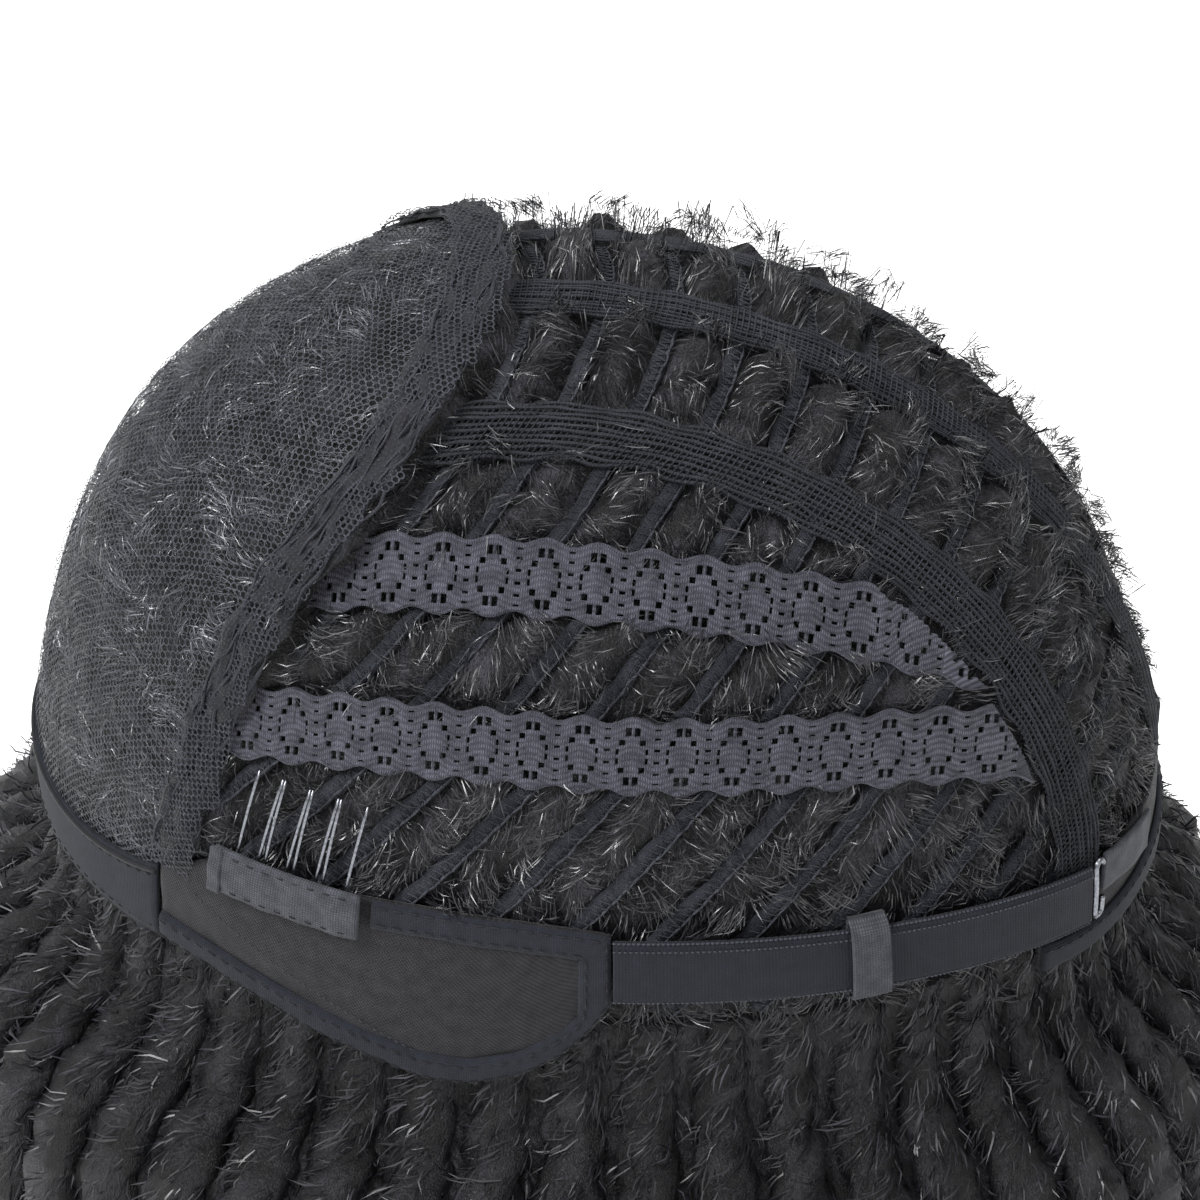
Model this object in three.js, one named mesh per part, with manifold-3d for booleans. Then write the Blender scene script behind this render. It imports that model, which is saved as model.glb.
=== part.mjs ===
// A braid wig turned inside out, so that the inside of its cap faces outward.
// The cap is a net front, sewn wefts under lace and ribbed elastic bands, ear tabs with wire combs,
// and adjusting straps to a nape panel. The hair lies under the cap as a thick mat round an open
// head hollow, and its braids spread from under the rim and hang down.
// Millimetres, +Z up, the forehead towards -Y. The origin is where the crown of the head touches
// the mat. Everything is first built with the rim at z = 0, and the group is lowered at the end.
import * as THREE from 'three';
import { mergeVertices } from 'three/addons/utils/BufferGeometryUtils.js';
import Module from 'manifold-3d';

const wasm = await Module();
wasm.setup();

// Cap and hair, in millimetres
const capHalfWidth = 77;
const capHalfLength = 106;
const capCrownHeight = 104;
const matDepth = 11;

// Layers over the cap's surface, from the mat outward
const layerGap = 0.6;
const clothThickness = 1;
const matSink = 0.6; // the mat's crests lie this far under the cap's surface
const matGroove = 5; // and its grooves this far, under each weft
const innerCloth = 0.5; // underside of the first layer of cloth
const outerCloth = innerCloth + clothThickness + layerGap;
const topCloth = outerCloth + clothThickness + layerGap;
const crownBulge = 5; // the hair lifts the net and its hem this far over the crown
const bulgeLow = 25; // height over the rim where this starts
const bulgeHigh = 85; // and where it is full
const matRise = 0.55; // share of it by which the mat rises under the net
const seam = 0.4; // gap left where two edges meet
const edgeGap = 1; // and where a band's end meets an edge under a hem

// Wefts, as circles round a pole at the front of the cap
const weftSlope = 50; // degrees from level, seen from the side
const weftCount = 13;
const weftFirst = 44.8; // degrees from the pole
const weftPitch = 6.8;
const weftWidth = 3;
const weftThickness = 2;
const weftSink = 0.4;
const weftRimGap = 2;

// Net front and its hem
const netEdge = 40; // degrees from the pole, over the crown
const netEdgeSweep = 19; // how much further back the edge runs at the rim
const netSweepHeight = 70; // the sweep starts this high over the rim
const netThickness = 0.8;
const hemWidth = 9;
const hemLift = 0.2;

// Front band, along the hairline
const frontBandDrop = 10;
const frontBandRise = 3;
const frontBandEndRise = 7; // both edges rise towards the ear tabs, the upper one by this much
const frontBandAngle = 47; // degrees from the forehead to its end beside the ear tab

// Elastic bands
const laceWidth = 14;
const laceUpper = { angle: 39.5, sweep: 4 }; // degrees from the crown, seen from the front
const laceLower = { angle: 58, sweep: 13 }; // the sweep is how far it climbs behind the crown
const ribbedWidth = 10;
const ribbedOffset = 0.37 * capHalfWidth; // of the two outer ones, from the middle of the crown
const ribbedSpread = 0.25; // share by which these spread towards the nape

// Ear tabs, measured along the rim and up from it
const earFront = 47.8;
const earRear = 97.6;
const earDrop = 17;
const earRise = 23;
const earBindingWidth = 6;
const earTabTable = [
  { along: 0, low: 0.35, high: 0.48 },
  { along: 0.13, low: 0.4, high: 0.78 },
  { along: 0.26, low: 0.53, high: 0.87 },
  { along: 0.38, low: 0.7, high: 0.92 },
  { along: 0.5, low: 0.86, high: 0.97 },
  { along: 0.62, low: 1, high: 1 },
  { along: 0.72, low: 0.98, high: 1 },
  { along: 0.82, low: 0.76, high: 1 },
  { along: 0.9, low: 0.41, high: 0.98 },
  { along: 0.96, low: 0, high: 0.96 },
  { along: 1, low: -0.38, high: 0.93 },
];

// Wire combs and the cloth pockets that hold them
const pocketLength = 31;
const pocketHeight = 9;
const pocketStart = 56;
const pocketLow = 15;
const toothPairs = 4; // gaps between pairs, with half a pair at each end
const toothPairWidth = 1.7;
const toothLength = 17; // above the pocket
const toothLean = 2.5; // the tips stand this far behind the roots
const wireThickness = 0.8;

// Adjusting straps, from the ear tabs to the nape
const strapWidth = 13;
const strapFront = 14.5; // height of the middle line at the ear tab
const strapRear = 4; // and at the hook
const strapSag = 2.2;
const strapEnd = 154; // degrees from the forehead
const keeperWidth = 7.5;
const keeperAngle = 123.5;
const keeperMargin = 1.5;
const hookHeight = 13;
const hookWire = 1.2;
const hookHeadWidth = 3.6;
const tapeWidth = 8;
const tapeEnd = 169;
const tapeStartHeight = 7;
const tapeEndHeight = 4;

// Nape panel
const napeHalfAngle = 34;
const napeHeight = 19;
const napeTipHeight = 0.35; // height of its ends, as a share
const napeDip = 4; // its ends lie this much lower
const napeBindingWidth = 6;

// Braids
const braidGroups = 12;
const braidsPerGroup = 4;
const braidLength = 190;
const braidDepth = 10;
const braidStations = [0, 0.1, 0.2, 0.34, 0.6, 1]; // shares of the length
const braidFlare = 50; // steepest outward lean in degrees
const braidFlareAt = 43; // along the braid
const braidFlareReach = 18;
const braidEndLean = 6;
const braidTip = 0.45; // width of the tip, as a share
const headerDepth = matDepth - 1;
const headerHeight = 11;
const sideGap = 0.4;

const radians = Math.PI / 180;
const capRadii = new THREE.Vector3(capHalfWidth, capHalfLength, capCrownHeight);

// Halves a range until the rising function crosses zero
function solve(rising, low, high) {
  for (let i = 0; i < 40; i += 1) {
    const middle = (low + high) / 2;
    if (rising(middle) > 0) high = middle;
    else low = middle;
  }
  return (low + high) / 2;
}

// A place moved onto the cap's surface, which is half an ellipsoid over the rim and upright under
// it, and then lifted off it
function lifted(point, lift) {
  const base = point.clone().setZ(Math.max(point.z, 0)).divide(capRadii).normalize().multiply(capRadii);
  const normal = base.clone().divide(capRadii).divide(capRadii).normalize();
  base.addScaledVector(normal, lift);
  return point.z < 0 ? base.setZ(point.z) : base;
}

// A place by its angle from the forehead and its height over the rim
function rimPoint(angle, height) {
  const ring = Math.sqrt(1 - (Math.max(height, 0) / capCrownHeight) ** 2);
  return new THREE.Vector3(
    capHalfWidth * ring * Math.sin(angle * radians),
    -capHalfLength * ring * Math.cos(angle * radians),
    height,
  );
}

// The pole of the wefts, and the direction over the crown square to it, on the unit sphere
const pole = new THREE.Vector3(
  0,
  -Math.sin(weftSlope * radians) * capHalfLength,
  Math.cos(weftSlope * radians) * capCrownHeight,
).normalize();
const overCrown = new THREE.Vector3(0, pole.z, -pole.y);

// A place by its angle from the pole and its turn round it, which is 0 over the crown
function weftPoint(latitude, turn) {
  const out = Math.sin(latitude * radians);
  return pole.clone()
    .multiplyScalar(Math.cos(latitude * radians))
    .addScaledVector(overCrown, out * Math.cos(turn * radians))
    .add(new THREE.Vector3(out * Math.sin(turn * radians), 0, 0))
    .multiply(capRadii);
}

// Degrees by which a place lies behind the net's edge
function behindNet(point) {
  const latitude = point.clone().divide(capRadii).angleTo(pole) / radians;
  const sweep = Math.max(0, 1 - point.z / netSweepHeight);
  return latitude - netEdge - netEdgeSweep * sweep ** 1.3;
}

// Closed meshes from vertices and triangles, turned so that their faces point out
function closed(vertices, triangles) {
  let volume = 0;
  for (let i = 0; i < triangles.length; i += 3) {
    const [a, b, c] = triangles.slice(i, i + 3).map((k) => vertices[k]);
    volume += a.dot(b.clone().cross(c));
  }
  const geometry = new THREE.BufferGeometry().setFromPoints(vertices);
  geometry.setIndex(volume > 0 ? triangles : triangles.reverse());
  return geometry;
}

// How far the hair lifts what lies freely over it
function bulge(place) {
  return crownBulge * THREE.MathUtils.smoothstep(place.z, bulgeLow, bulgeHigh);
}

// A wall over a grid of places on the cap, between two lifts, with more lift where it bulges
function shell(grid, low, high, swell = () => 0) {
  const rows = grid.length;
  const columns = grid[0].length;
  const vertices = [low, high].flatMap((lift) => (
    grid.flat().map((place) => lifted(place, lift + swell(place)))));
  const at = (side, i, j) => (side * rows + i) * columns + j;
  const triangles = [];
  const quad = (a, b, c, d) => triangles.push(a, b, c, a, c, d);
  for (let i = 0; i < rows - 1; i += 1) {
    for (let j = 0; j < columns - 1; j += 1) {
      quad(at(0, i, j), at(0, i, j + 1), at(0, i + 1, j + 1), at(0, i + 1, j));
      quad(at(1, i, j), at(1, i + 1, j), at(1, i + 1, j + 1), at(1, i, j + 1));
    }
    quad(at(0, i, 0), at(0, i + 1, 0), at(1, i + 1, 0), at(1, i, 0));
    quad(at(0, i + 1, columns - 1), at(0, i, columns - 1), at(1, i, columns - 1), at(1, i + 1, columns - 1));
  }
  for (let j = 0; j < columns - 1; j += 1) {
    quad(at(0, 0, j + 1), at(0, 0, j), at(1, 0, j), at(1, 0, j + 1));
    quad(at(0, rows - 1, j), at(0, rows - 1, j + 1), at(1, rows - 1, j + 1), at(1, rows - 1, j));
  }
  return closed(vertices, triangles);
}

// A solid lofted through rings of equal count, with flat ends
function loft(rings) {
  const count = rings[0].length;
  const triangles = [];
  for (let i = 0; i < rings.length - 1; i += 1) {
    for (let j = 0; j < count; j += 1) {
      const [a, b] = [i * count + j, i * count + ((j + 1) % count)];
      triangles.push(a, b, b + count, a, b + count, a + count);
    }
  }
  const last = (rings.length - 1) * count;
  for (let j = 1; j < count - 1; j += 1) {
    triangles.push(0, j + 1, j, last, last + j, last + j + 1);
  }
  return closed(rings.flat(), triangles);
}

// Rows of a grid from a function of two shares, each from 0 to 1
function grid(rows, columns, place) {
  return Array.from({ length: rows + 1 }, (_, i) => (
    Array.from({ length: columns + 1 }, (_, j) => place(i / rows, j / columns))));
}

// Solids for joining and cutting
function toSolid(geometry) {
  const bare = geometry.clone();
  bare.deleteAttribute('normal');
  bare.deleteAttribute('uv');
  const merged = mergeVertices(bare);
  return new wasm.Manifold(new wasm.Mesh({
    numProp: 3,
    vertProperties: new Float32Array(merged.attributes.position.array),
    triVerts: new Uint32Array(merged.index.array),
  }));
}

function toGeometry(solid) {
  const mesh = solid.getMesh();
  const geometry = new THREE.BufferGeometry();
  geometry.setAttribute('position', new THREE.BufferAttribute(new Float32Array(mesh.vertProperties), 3));
  geometry.setIndex(new THREE.BufferAttribute(new Uint32Array(mesh.triVerts), 1));
  return geometry;
}

function join(geometries) {
  return toGeometry(geometries.map(toSolid).reduce((whole, solid) => whole.add(solid)));
}

// Hair lying under the cap: a ridged dome, cut off at the rim, round the head hollow
function hairMat() {
  const roundSegments = 34;
  const ring = (latitude, depth, swell = () => 0) => Array.from({ length: roundSegments }, (_, i) => {
    const place = weftPoint(latitude, (i / roundSegments) * 360);
    const above = lifted(place.clone().setZ(Math.abs(place.z)), swell(place) - depth);
    return above.setZ(above.z * Math.sign(place.z));
  });
  const firstRidge = weftFirst - weftPitch / 2;
  const lastRidge = firstRidge + weftCount * weftPitch;
  const smoothSteps = 4;
  const rings = [];
  for (let i = 0; i < smoothSteps; i += 1) {
    rings.push(ring(((i + 0.3) / smoothSteps) * firstRidge, matSink, (place) => matRise * bulge(place)));
  }
  for (let k = 0; k < weftCount; k += 1) {
    rings.push(ring(firstRidge + k * weftPitch, matSink));
    rings.push(ring(weftFirst + k * weftPitch, matGroove));
  }
  for (let i = 0; i < smoothSteps; i += 1) {
    rings.push(ring(lastRidge + (i / smoothSteps) * (180 - lastRidge), matSink));
  }
  const hollow = new THREE.SphereGeometry(1, 24, 14);
  hollow.rotateX(Math.PI / 2);
  hollow.scale(...capRadii.clone().subScalar(matDepth).toArray());
  const below = new THREE.BoxGeometry(4 * capHalfWidth, 4 * capHalfLength, 2 * capCrownHeight);
  below.translate(0, 0, -capCrownHeight);
  return toGeometry(toSolid(loft(rings)).subtract(toSolid(hollow)).subtract(toSolid(below)));
}

// Edges of the front band, by the angle from the forehead
function bandHigh(angle) {
  return frontBandRise + frontBandEndRise * (angle / frontBandAngle) ** 4;
}

function bandLow(angle) {
  return -frontBandDrop + 0.4 * frontBandEndRise * (angle / frontBandAngle) ** 4;
}

function frontBand() {
  return shell(grid(14, 2, (across, up) => {
    const angle = (2 * across - 1) * frontBandAngle;
    return rimPoint(angle, THREE.MathUtils.lerp(bandLow(angle), bandHigh(angle), up));
  }), innerCloth, innerCloth + clothThickness);
}

// The net's edge, from one end of the front band over the crown to the other
function netEdgePoint(turn) {
  const latitude = solve((angle) => behindNet(weftPoint(angle, turn)), 20, 90);
  return weftPoint(latitude, turn);
}
const netCorner = bandHigh(frontBandAngle) + 5;
const netTurn = solve((turn) => netCorner - netEdgePoint(turn).z, 0, 150);

function frontNet() {
  const footAngle = frontBandAngle - 1;
  return shell(grid(16, 8, (across, up) => {
    const angle = (2 * across - 1) * footAngle;
    const foot = rimPoint(angle, bandHigh(angle) + seam);
    return foot.lerp(netEdgePoint((2 * across - 1) * netTurn), up);
  }), innerCloth, innerCloth + netThickness, bulge);
}

// A strip of even width along a path of places
function strip(path, width, low, high, swell) {
  const places = path.map((place) => lifted(place, 0));
  return shell(places.map((place, i) => {
    const along = places[Math.min(i + 1, places.length - 1)].clone().sub(places[Math.max(i - 1, 0)]);
    const side = lifted(place, 1).sub(place).cross(along).normalize();
    return [-0.5, 0.5].map((share) => place.clone().addScaledVector(side, share * width));
  }), low, high, swell);
}

function netHem() {
  const steps = 24;
  const path = Array.from({ length: steps + 1 }, (_, i) => netEdgePoint((2 * i / steps - 1) * netTurn));
  return strip(path, hemWidth, outerCloth + hemLift, outerCloth + hemLift + netThickness, bulge);
}

// Wefts stop over the rim, and the first of them under the net
function weft(number) {
  const middle = weftFirst + number * weftPitch;
  const halfAngle = weftWidth / 2 / capHalfLength / radians;
  const netOverlap = 2; // degrees by which a weft runs on under the net
  const reach = (latitude) => solve((turn) => {
    const place = weftPoint(latitude, turn);
    return Math.max(weftRimGap - place.z, -behindNet(place) - netOverlap);
  }, 0, 179);
  const steps = Math.max(6, Math.round(reach(middle) / 9));
  return shell(grid(steps, 1, (across, side) => {
    const latitude = middle + (2 * side - 1) * halfAngle;
    return weftPoint(latitude, (2 * across - 1) * reach(latitude));
  }), -weftSink - weftThickness, -weftSink);
}

// Ribbed bands run from the net's edge to the nape panel
function ribbedBand(side) {
  const place = (across, angle) => {
    const spread = 1 + ribbedSpread * (1 - Math.sin(angle * radians));
    const x = side * ribbedOffset * spread + (across - 0.5) * ribbedWidth;
    const ring = Math.sqrt(1 - (x / capHalfWidth) ** 2);
    return new THREE.Vector3(
      x,
      capHalfLength * ring * Math.cos(angle * radians),
      capCrownHeight * ring * Math.sin(angle * radians),
    );
  };
  return shell(grid(16, 1, (along, across) => {
    const start = solve((angle) => edgeGapAngle - behindNet(place(across, angle)), 10, 150);
    const end = solve((angle) => {
      const at = place(across, angle);
      return at.z - napeHigh(rimAngle(at)) - edgeGap;
    }, 0, 80);
    return place(across, start + along * (end - start));
  }), innerCloth, innerCloth + clothThickness);
}
const edgeGapAngle = edgeGap / capHalfLength / radians;

// Lace bands run from the net's edge to the outer ribbed band
function laceBand({ angle, sweep }, side) {
  const place = (offset, y) => {
    const ring = Math.sqrt(1 - (y / capHalfLength) ** 2);
    const middle = angle - sweep * Math.max(0, y / capHalfLength) ** 2;
    const speed = Math.hypot(
      capHalfWidth * Math.cos(middle * radians),
      capCrownHeight * Math.sin(middle * radians),
    );
    const turn = middle * radians + offset / (speed * ring);
    return new THREE.Vector3(
      side * capHalfWidth * ring * Math.sin(turn),
      y,
      capCrownHeight * ring * Math.cos(turn),
    );
  };
  const stop = (at) => {
    const spread = 1 + ribbedSpread * (1 - at.z / Math.hypot(at.z, at.y));
    return ribbedOffset * spread + ribbedWidth / 2 + edgeGap;
  };
  return shell(grid(12, 2, (along, across) => {
    const offset = (across - 0.5) * laceWidth;
    const start = solve((y) => behindNet(place(offset, y)) - edgeGapAngle, -0.9 * capHalfLength, 0);
    const end = solve((y) => {
      const at = place(offset, y);
      return stop(at) - Math.abs(at.x);
    }, 0, 0.98 * capHalfLength);
    return place(offset, start + along * (end - start));
  }), innerCloth, innerCloth + clothThickness);
}

// Angle from the forehead of a place on the cap
function rimAngle(place) {
  return Math.atan2(Math.abs(place.x) / capHalfWidth, -place.y / capHalfLength) / radians;
}

// Ear tabs: heights of the lower and upper edge by the share of the length
function earEdge(along) {
  const next = Math.max(1, earTabTable.findIndex((row) => row.along >= along));
  const [from, to] = [earTabTable[next - 1], earTabTable[next]];
  const share = (along - from.along) / (to.along - from.along);
  return {
    low: -earDrop * THREE.MathUtils.lerp(from.low, to.low, share),
    high: earRise * THREE.MathUtils.lerp(from.high, to.high, share),
  };
}

function earPlace(along, height, side) {
  return rimPoint(side * THREE.MathUtils.lerp(earFront, earRear, along), height);
}

function earTab(side) {
  return shell(earTabTable.map(({ along }) => {
    const { low, high } = earEdge(along);
    return [0, 1 / 3, 2 / 3, 1].map((up) => earPlace(along, THREE.MathUtils.lerp(low, high, up), side));
  }), innerCloth, innerCloth + clothThickness);
}

// Tape round the tab's lower and rear edges, and along the top as far as the comb's pocket
function earBinding(side) {
  const length = capHalfLength * (earRear - earFront) * radians;
  const inset = earBindingWidth / length;
  const pocketEnd = pocketStart + pocketLength / capHalfLength / radians;
  const topStart = (pocketEnd - earFront) / (earRear - earFront) + 0.05;
  const lowerEdge = earTabTable.map(({ along }) => ({ along, height: earEdge(along).low }));
  const rear = { along: 1, height: earEdge(1).high };
  const upperEdge = [0.88, 0.76, topStart].map((along) => ({ along, height: earEdge(along).high }));
  const outline = [...lowerEdge, rear, ...upperEdge];
  return shell(outline.map(({ along, height }) => {
    const innerAlong = Math.min(along, 1 - inset);
    const { low, high } = earEdge(innerAlong);
    const innerHeight = THREE.MathUtils.clamp(height, low + earBindingWidth, high - earBindingWidth);
    return [earPlace(along, height, side), earPlace(innerAlong, innerHeight, side)];
  }), outerCloth, outerCloth + clothThickness);
}

// Comb pockets lie over the wire comb, which lies on the tab
function pocketPlace(along, height, side) {
  const angle = pocketStart + (along * pocketLength) / capHalfLength / radians;
  return rimPoint(side * angle, pocketLow + height);
}

function combPocket(side) {
  return shell(grid(4, 1, (along, up) => pocketPlace(along, up * pocketHeight, side)),
    topCloth, topCloth + clothThickness);
}

// The comb's spine lies in the pocket, and its teeth stand out of it in pairs
function comb(side) {
  const spineHeight = pocketHeight / 2;
  const bar = (from, to) => shell(
    Array.from({ length: 3 }, (_, i) => {
      const middle = from.clone().lerp(to, i / 2);
      const across = to.clone().sub(from).cross(lifted(middle, 1).sub(middle)).normalize();
      return [-0.5, 0.5].map((share) => middle.clone().addScaledVector(across, share * wireThickness));
    }),
    outerCloth,
    outerCloth + wireThickness,
  );
  const margin = 0.1;
  const rootAlong = (position) => margin + (position / toothPairs) * (1 - 2 * margin);
  const halfPair = toothPairWidth / 2 / (pocketLength * (1 - 2 * margin)) * toothPairs;
  const positions = Array.from({ length: toothPairs + 1 }, (_, k) => [k - halfPair, k + halfPair])
    .flat()
    .filter((position) => position > 0 && position < toothPairs);
  const spine = bar(
    pocketPlace(rootAlong(0), spineHeight, side),
    pocketPlace(rootAlong(toothPairs), spineHeight, side),
  );
  const teeth = positions.map((position) => bar(
    pocketPlace(rootAlong(position), spineHeight - wireThickness / 4, side),
    pocketPlace(rootAlong(position) + toothLean / pocketLength, pocketHeight + toothLength, side),
  ));
  return join([spine, ...teeth]);
}

// Straps leave the ear tab, pass through a keeper and end in a hook over the nape panel
const strapStart = earRear + seam / capHalfLength / radians;
function strapHeight(angle) {
  const share = (angle - earRear) / (strapEnd - earRear);
  return strapFront + (strapRear - strapFront) * share ** strapSag;
}

function strap(side) {
  return shell(grid(12, 1, (along, up) => {
    const angle = THREE.MathUtils.lerp(strapStart, strapEnd, along);
    return rimPoint(side * angle, strapHeight(angle) + (up - 0.5) * strapWidth);
  }), outerCloth, outerCloth + clothThickness);
}

function strapKeeper(side) {
  const plate = (width, height, low, high) => shell(grid(2, 1, (along, up) => {
    const angle = keeperAngle + ((along - 0.5) * width) / capHalfLength / radians;
    return rimPoint(side * angle, strapHeight(keeperAngle) + (up - 0.5) * height);
  }), low, high);
  const outside = plate(keeperWidth, strapWidth + 2 * keeperMargin + 2 * clothThickness,
    innerCloth, topCloth + clothThickness);
  const inside = plate(2 * keeperWidth, strapWidth + 2 * keeperMargin,
    innerCloth + clothThickness, topCloth);
  return toGeometry(toSolid(outside).subtract(toSolid(inside)));
}

// The hook is a bent wire: a bar across the strap's end, a head over it and a crook under it
function strapHook(side) {
  const plate = (from, to, low, high) => shell(grid(1, 1, (along, up) => {
    const angle = strapEnd + THREE.MathUtils.lerp(from, to, along) / capHalfLength / radians;
    return rimPoint(side * angle, strapHeight(strapEnd) + THREE.MathUtils.lerp(low, high, up));
  }), outerCloth, outerCloth + hookWire);
  const start = seam + 0.1;
  const half = hookHeight / 2;
  const bar = plate(start, start + hookWire, -half, half);
  const head = plate(start - 0.1, start + hookHeadWidth, half - hookWire, half + hookWire);
  const crook = plate(start + 0.1, start + hookHeadWidth, -half, -half + hookWire);
  const point = plate(start + hookHeadWidth - hookWire, start + hookHeadWidth - 0.1, -half + 0.1, -half / 4);
  return join([bar, head, crook, point]);
}

// Tape that the hook catches, sewn to the nape panel
function adjusterTape(side) {
  const start = strapEnd + (2 * seam + hookHeadWidth) / capHalfLength / radians;
  const steps = 4;
  const path = Array.from({ length: steps + 1 }, (_, i) => rimPoint(
    side * THREE.MathUtils.lerp(start, tapeEnd, i / steps),
    THREE.MathUtils.lerp(tapeStartHeight, tapeEndHeight, i / steps),
  ));
  return strip(path, tapeWidth, outerCloth, outerCloth + clothThickness);
}

// Nape panel: its edges by the angle from the forehead
function napeShare(angle) {
  return Math.min(1, (180 - angle) / napeHalfAngle);
}

function napeHalf(angle) {
  return (napeHeight / 2) * (1 - (1 - napeTipHeight) * napeShare(angle) ** 4);
}

function napeHigh(angle) {
  return -napeDip * napeShare(angle) ** 2 + napeHalf(angle);
}

function napeLow(angle) {
  return -napeDip * napeShare(angle) ** 2 - napeHalf(angle);
}

function napePlace(across, height) {
  const angle = 180 + (2 * across - 1) * napeHalfAngle;
  const mirrored = 180 - Math.abs(angle - 180);
  return rimPoint(angle, height(napeLow(mirrored), napeHigh(mirrored)));
}

function napePanel() {
  return shell(grid(14, 2, (across, up) => (
    napePlace(across, (low, high) => THREE.MathUtils.lerp(low, high, up))
  )), innerCloth, innerCloth + clothThickness);
}

function napeBinding() {
  return shell(grid(14, 1, (across, up) => (
    napePlace(across, (low) => low + up * napeBindingWidth)
  )), outerCloth, outerCloth + clothThickness);
}

// The middle line of a braid, as places outward from the rim and down
const braidLine = (() => {
  const stride = 1;
  const places = [{ out: -matSink - matDepth / 2 - sideGap, height: -headerHeight / 4 }];
  for (let along = stride; along <= braidLength; along += stride) {
    const { out, height } = places[places.length - 1];
    const bump = Math.exp(-(((along - braidFlareAt) / braidFlareReach) ** 2));
    const lean = (braidFlare * bump + braidEndLean * Math.min(1, along / braidFlareAt)) * radians;
    places.push({ out: out + Math.sin(lean) * stride, height: height - Math.cos(lean) * stride });
  }
  return braidStations.map((share) => places[Math.round((share * braidLength) / stride)]);
})();

function braidCentre(angle, station) {
  const rim = rimPoint(angle, 0);
  const normal = new THREE.Vector3(rim.x / capHalfWidth ** 2, rim.y / capHalfLength ** 2, 0).normalize();
  return { centre: rim.addScaledVector(normal, station.out).setZ(station.height), normal };
}

// One braid, as a lock whose width fills its share of the row
function lock(angle, pitch) {
  const sides = 6;
  const last = braidLine.length - 1;
  return loft(braidLine.map((station, i) => {
    const { centre, normal } = braidCentre(angle, station);
    const before = braidCentre(angle - pitch, station).centre;
    const after = braidCentre(angle + pitch, station).centre;
    const spacing = Math.min(centre.distanceTo(before), centre.distanceTo(after));
    const taper = i === last ? braidTip : 1;
    const along = after.sub(before).normalize();
    const previous = braidLine[Math.max(i - 1, 0)];
    const next = braidLine[Math.min(i + 1, last)];
    const lean = i === 0 ? 0 : Math.atan2(next.out - previous.out, previous.height - next.height);
    const depth = normal.clone().multiplyScalar(Math.cos(lean)).setZ(Math.sin(lean));
    return Array.from({ length: sides }, (_, k) => {
      const turn = (k / sides) * 2 * Math.PI;
      return centre.clone()
        .addScaledVector(along, (Math.cos(turn) * (spacing - sideGap) * taper) / 2)
        .addScaledVector(depth, (Math.sin(turn) * braidDepth * taper) / 2);
    });
  }));
}

// A group of braids hangs from a header, the strip of hair under the mat's edge
function braids(group) {
  const pitch = 360 / (braidGroups * braidsPerGroup);
  const start = group * braidsPerGroup * pitch;
  const end = start + braidsPerGroup * pitch;
  const trim = sideGap / 2 / (capHalfWidth - matDepth) / radians;
  const outside = -matSink - (matDepth - headerDepth) / 2;
  const angles = Array.from({ length: 4 }, (_, i) => THREE.MathUtils.lerp(start + trim, end - trim, i / 3));
  const header = loft(angles.map((angle) => (
    [[0, 0], [0, 1], [1, 1], [1, 0]].map(([inward, down]) => braidCentre(angle, {
      out: outside - inward * headerDepth,
      height: -layerGap - down * headerHeight,
    }).centre)
  )));
  const locks = Array.from({ length: braidsPerGroup }, (_, k) => lock(start + (k + 0.5) * pitch, pitch));
  return join([header, ...locks]);
}

// Materials
const material = (color, roughness, metalness = 0) => (
  new THREE.MeshStandardMaterial({ color, roughness, metalness }));
const hair = material(0x17171a, 0.65);
const net = material(0x3a3a3f, 0.85);
const lace = material(0x35343c, 0.8);
const ribbed = material(0x262a33, 0.8);
const weftThread = material(0x2b303a, 0.75);
const binding = material(0x33363f, 0.85);
const tabCloth = material(0x302e30, 0.9);
const elastic = material(0x242936, 0.7);
const loopCloth = material(0x4a4c52, 0.85);
const steel = material(0xb4b6ba, 0.3, 1);

const wig = new THREE.Group();
wig.position.z = matDepth - capCrownHeight;

function add(name, geometry, look) {
  const mesh = new THREE.Mesh(geometry, look);
  mesh.name = name;
  wig.add(mesh);
}

const twoDigits = (number) => String(number + 1).padStart(2, '0');

add('hair_mat', hairMat(), hair);
add('front_net', frontNet(), net);
add('net_hem', netHem(), net);
add('front_band', frontBand(), binding);
for (let k = 0; k < weftCount; k += 1) add(`weft_${twoDigits(k)}`, weft(k), weftThread);
add('crown_band_middle', ribbedBand(0), ribbed);
for (const [name, side] of [['left', 1], ['right', -1]]) {
  add(`crown_band_${name}`, ribbedBand(side), ribbed);
  add(`lace_band_upper_${name}`, laceBand(laceUpper, side), lace);
  add(`lace_band_lower_${name}`, laceBand(laceLower, side), lace);
  add(`ear_tab_${name}`, earTab(side), tabCloth);
  add(`ear_binding_${name}`, earBinding(side), binding);
  add(`comb_pocket_${name}`, combPocket(side), loopCloth);
  add(`comb_${name}`, comb(side), steel);
  add(`strap_${name}`, strap(side), elastic);
  add(`strap_keeper_${name}`, strapKeeper(side), loopCloth);
  add(`strap_hook_${name}`, strapHook(side), steel);
  add(`adjuster_tape_${name}`, adjusterTape(side), loopCloth);
}
add('nape_panel', napePanel(), tabCloth);
add('nape_binding', napeBinding(), binding);
for (let k = 0; k < braidGroups; k += 1) add(`braids_${twoDigits(k)}`, braids(k), hair);

export default wig;
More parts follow.
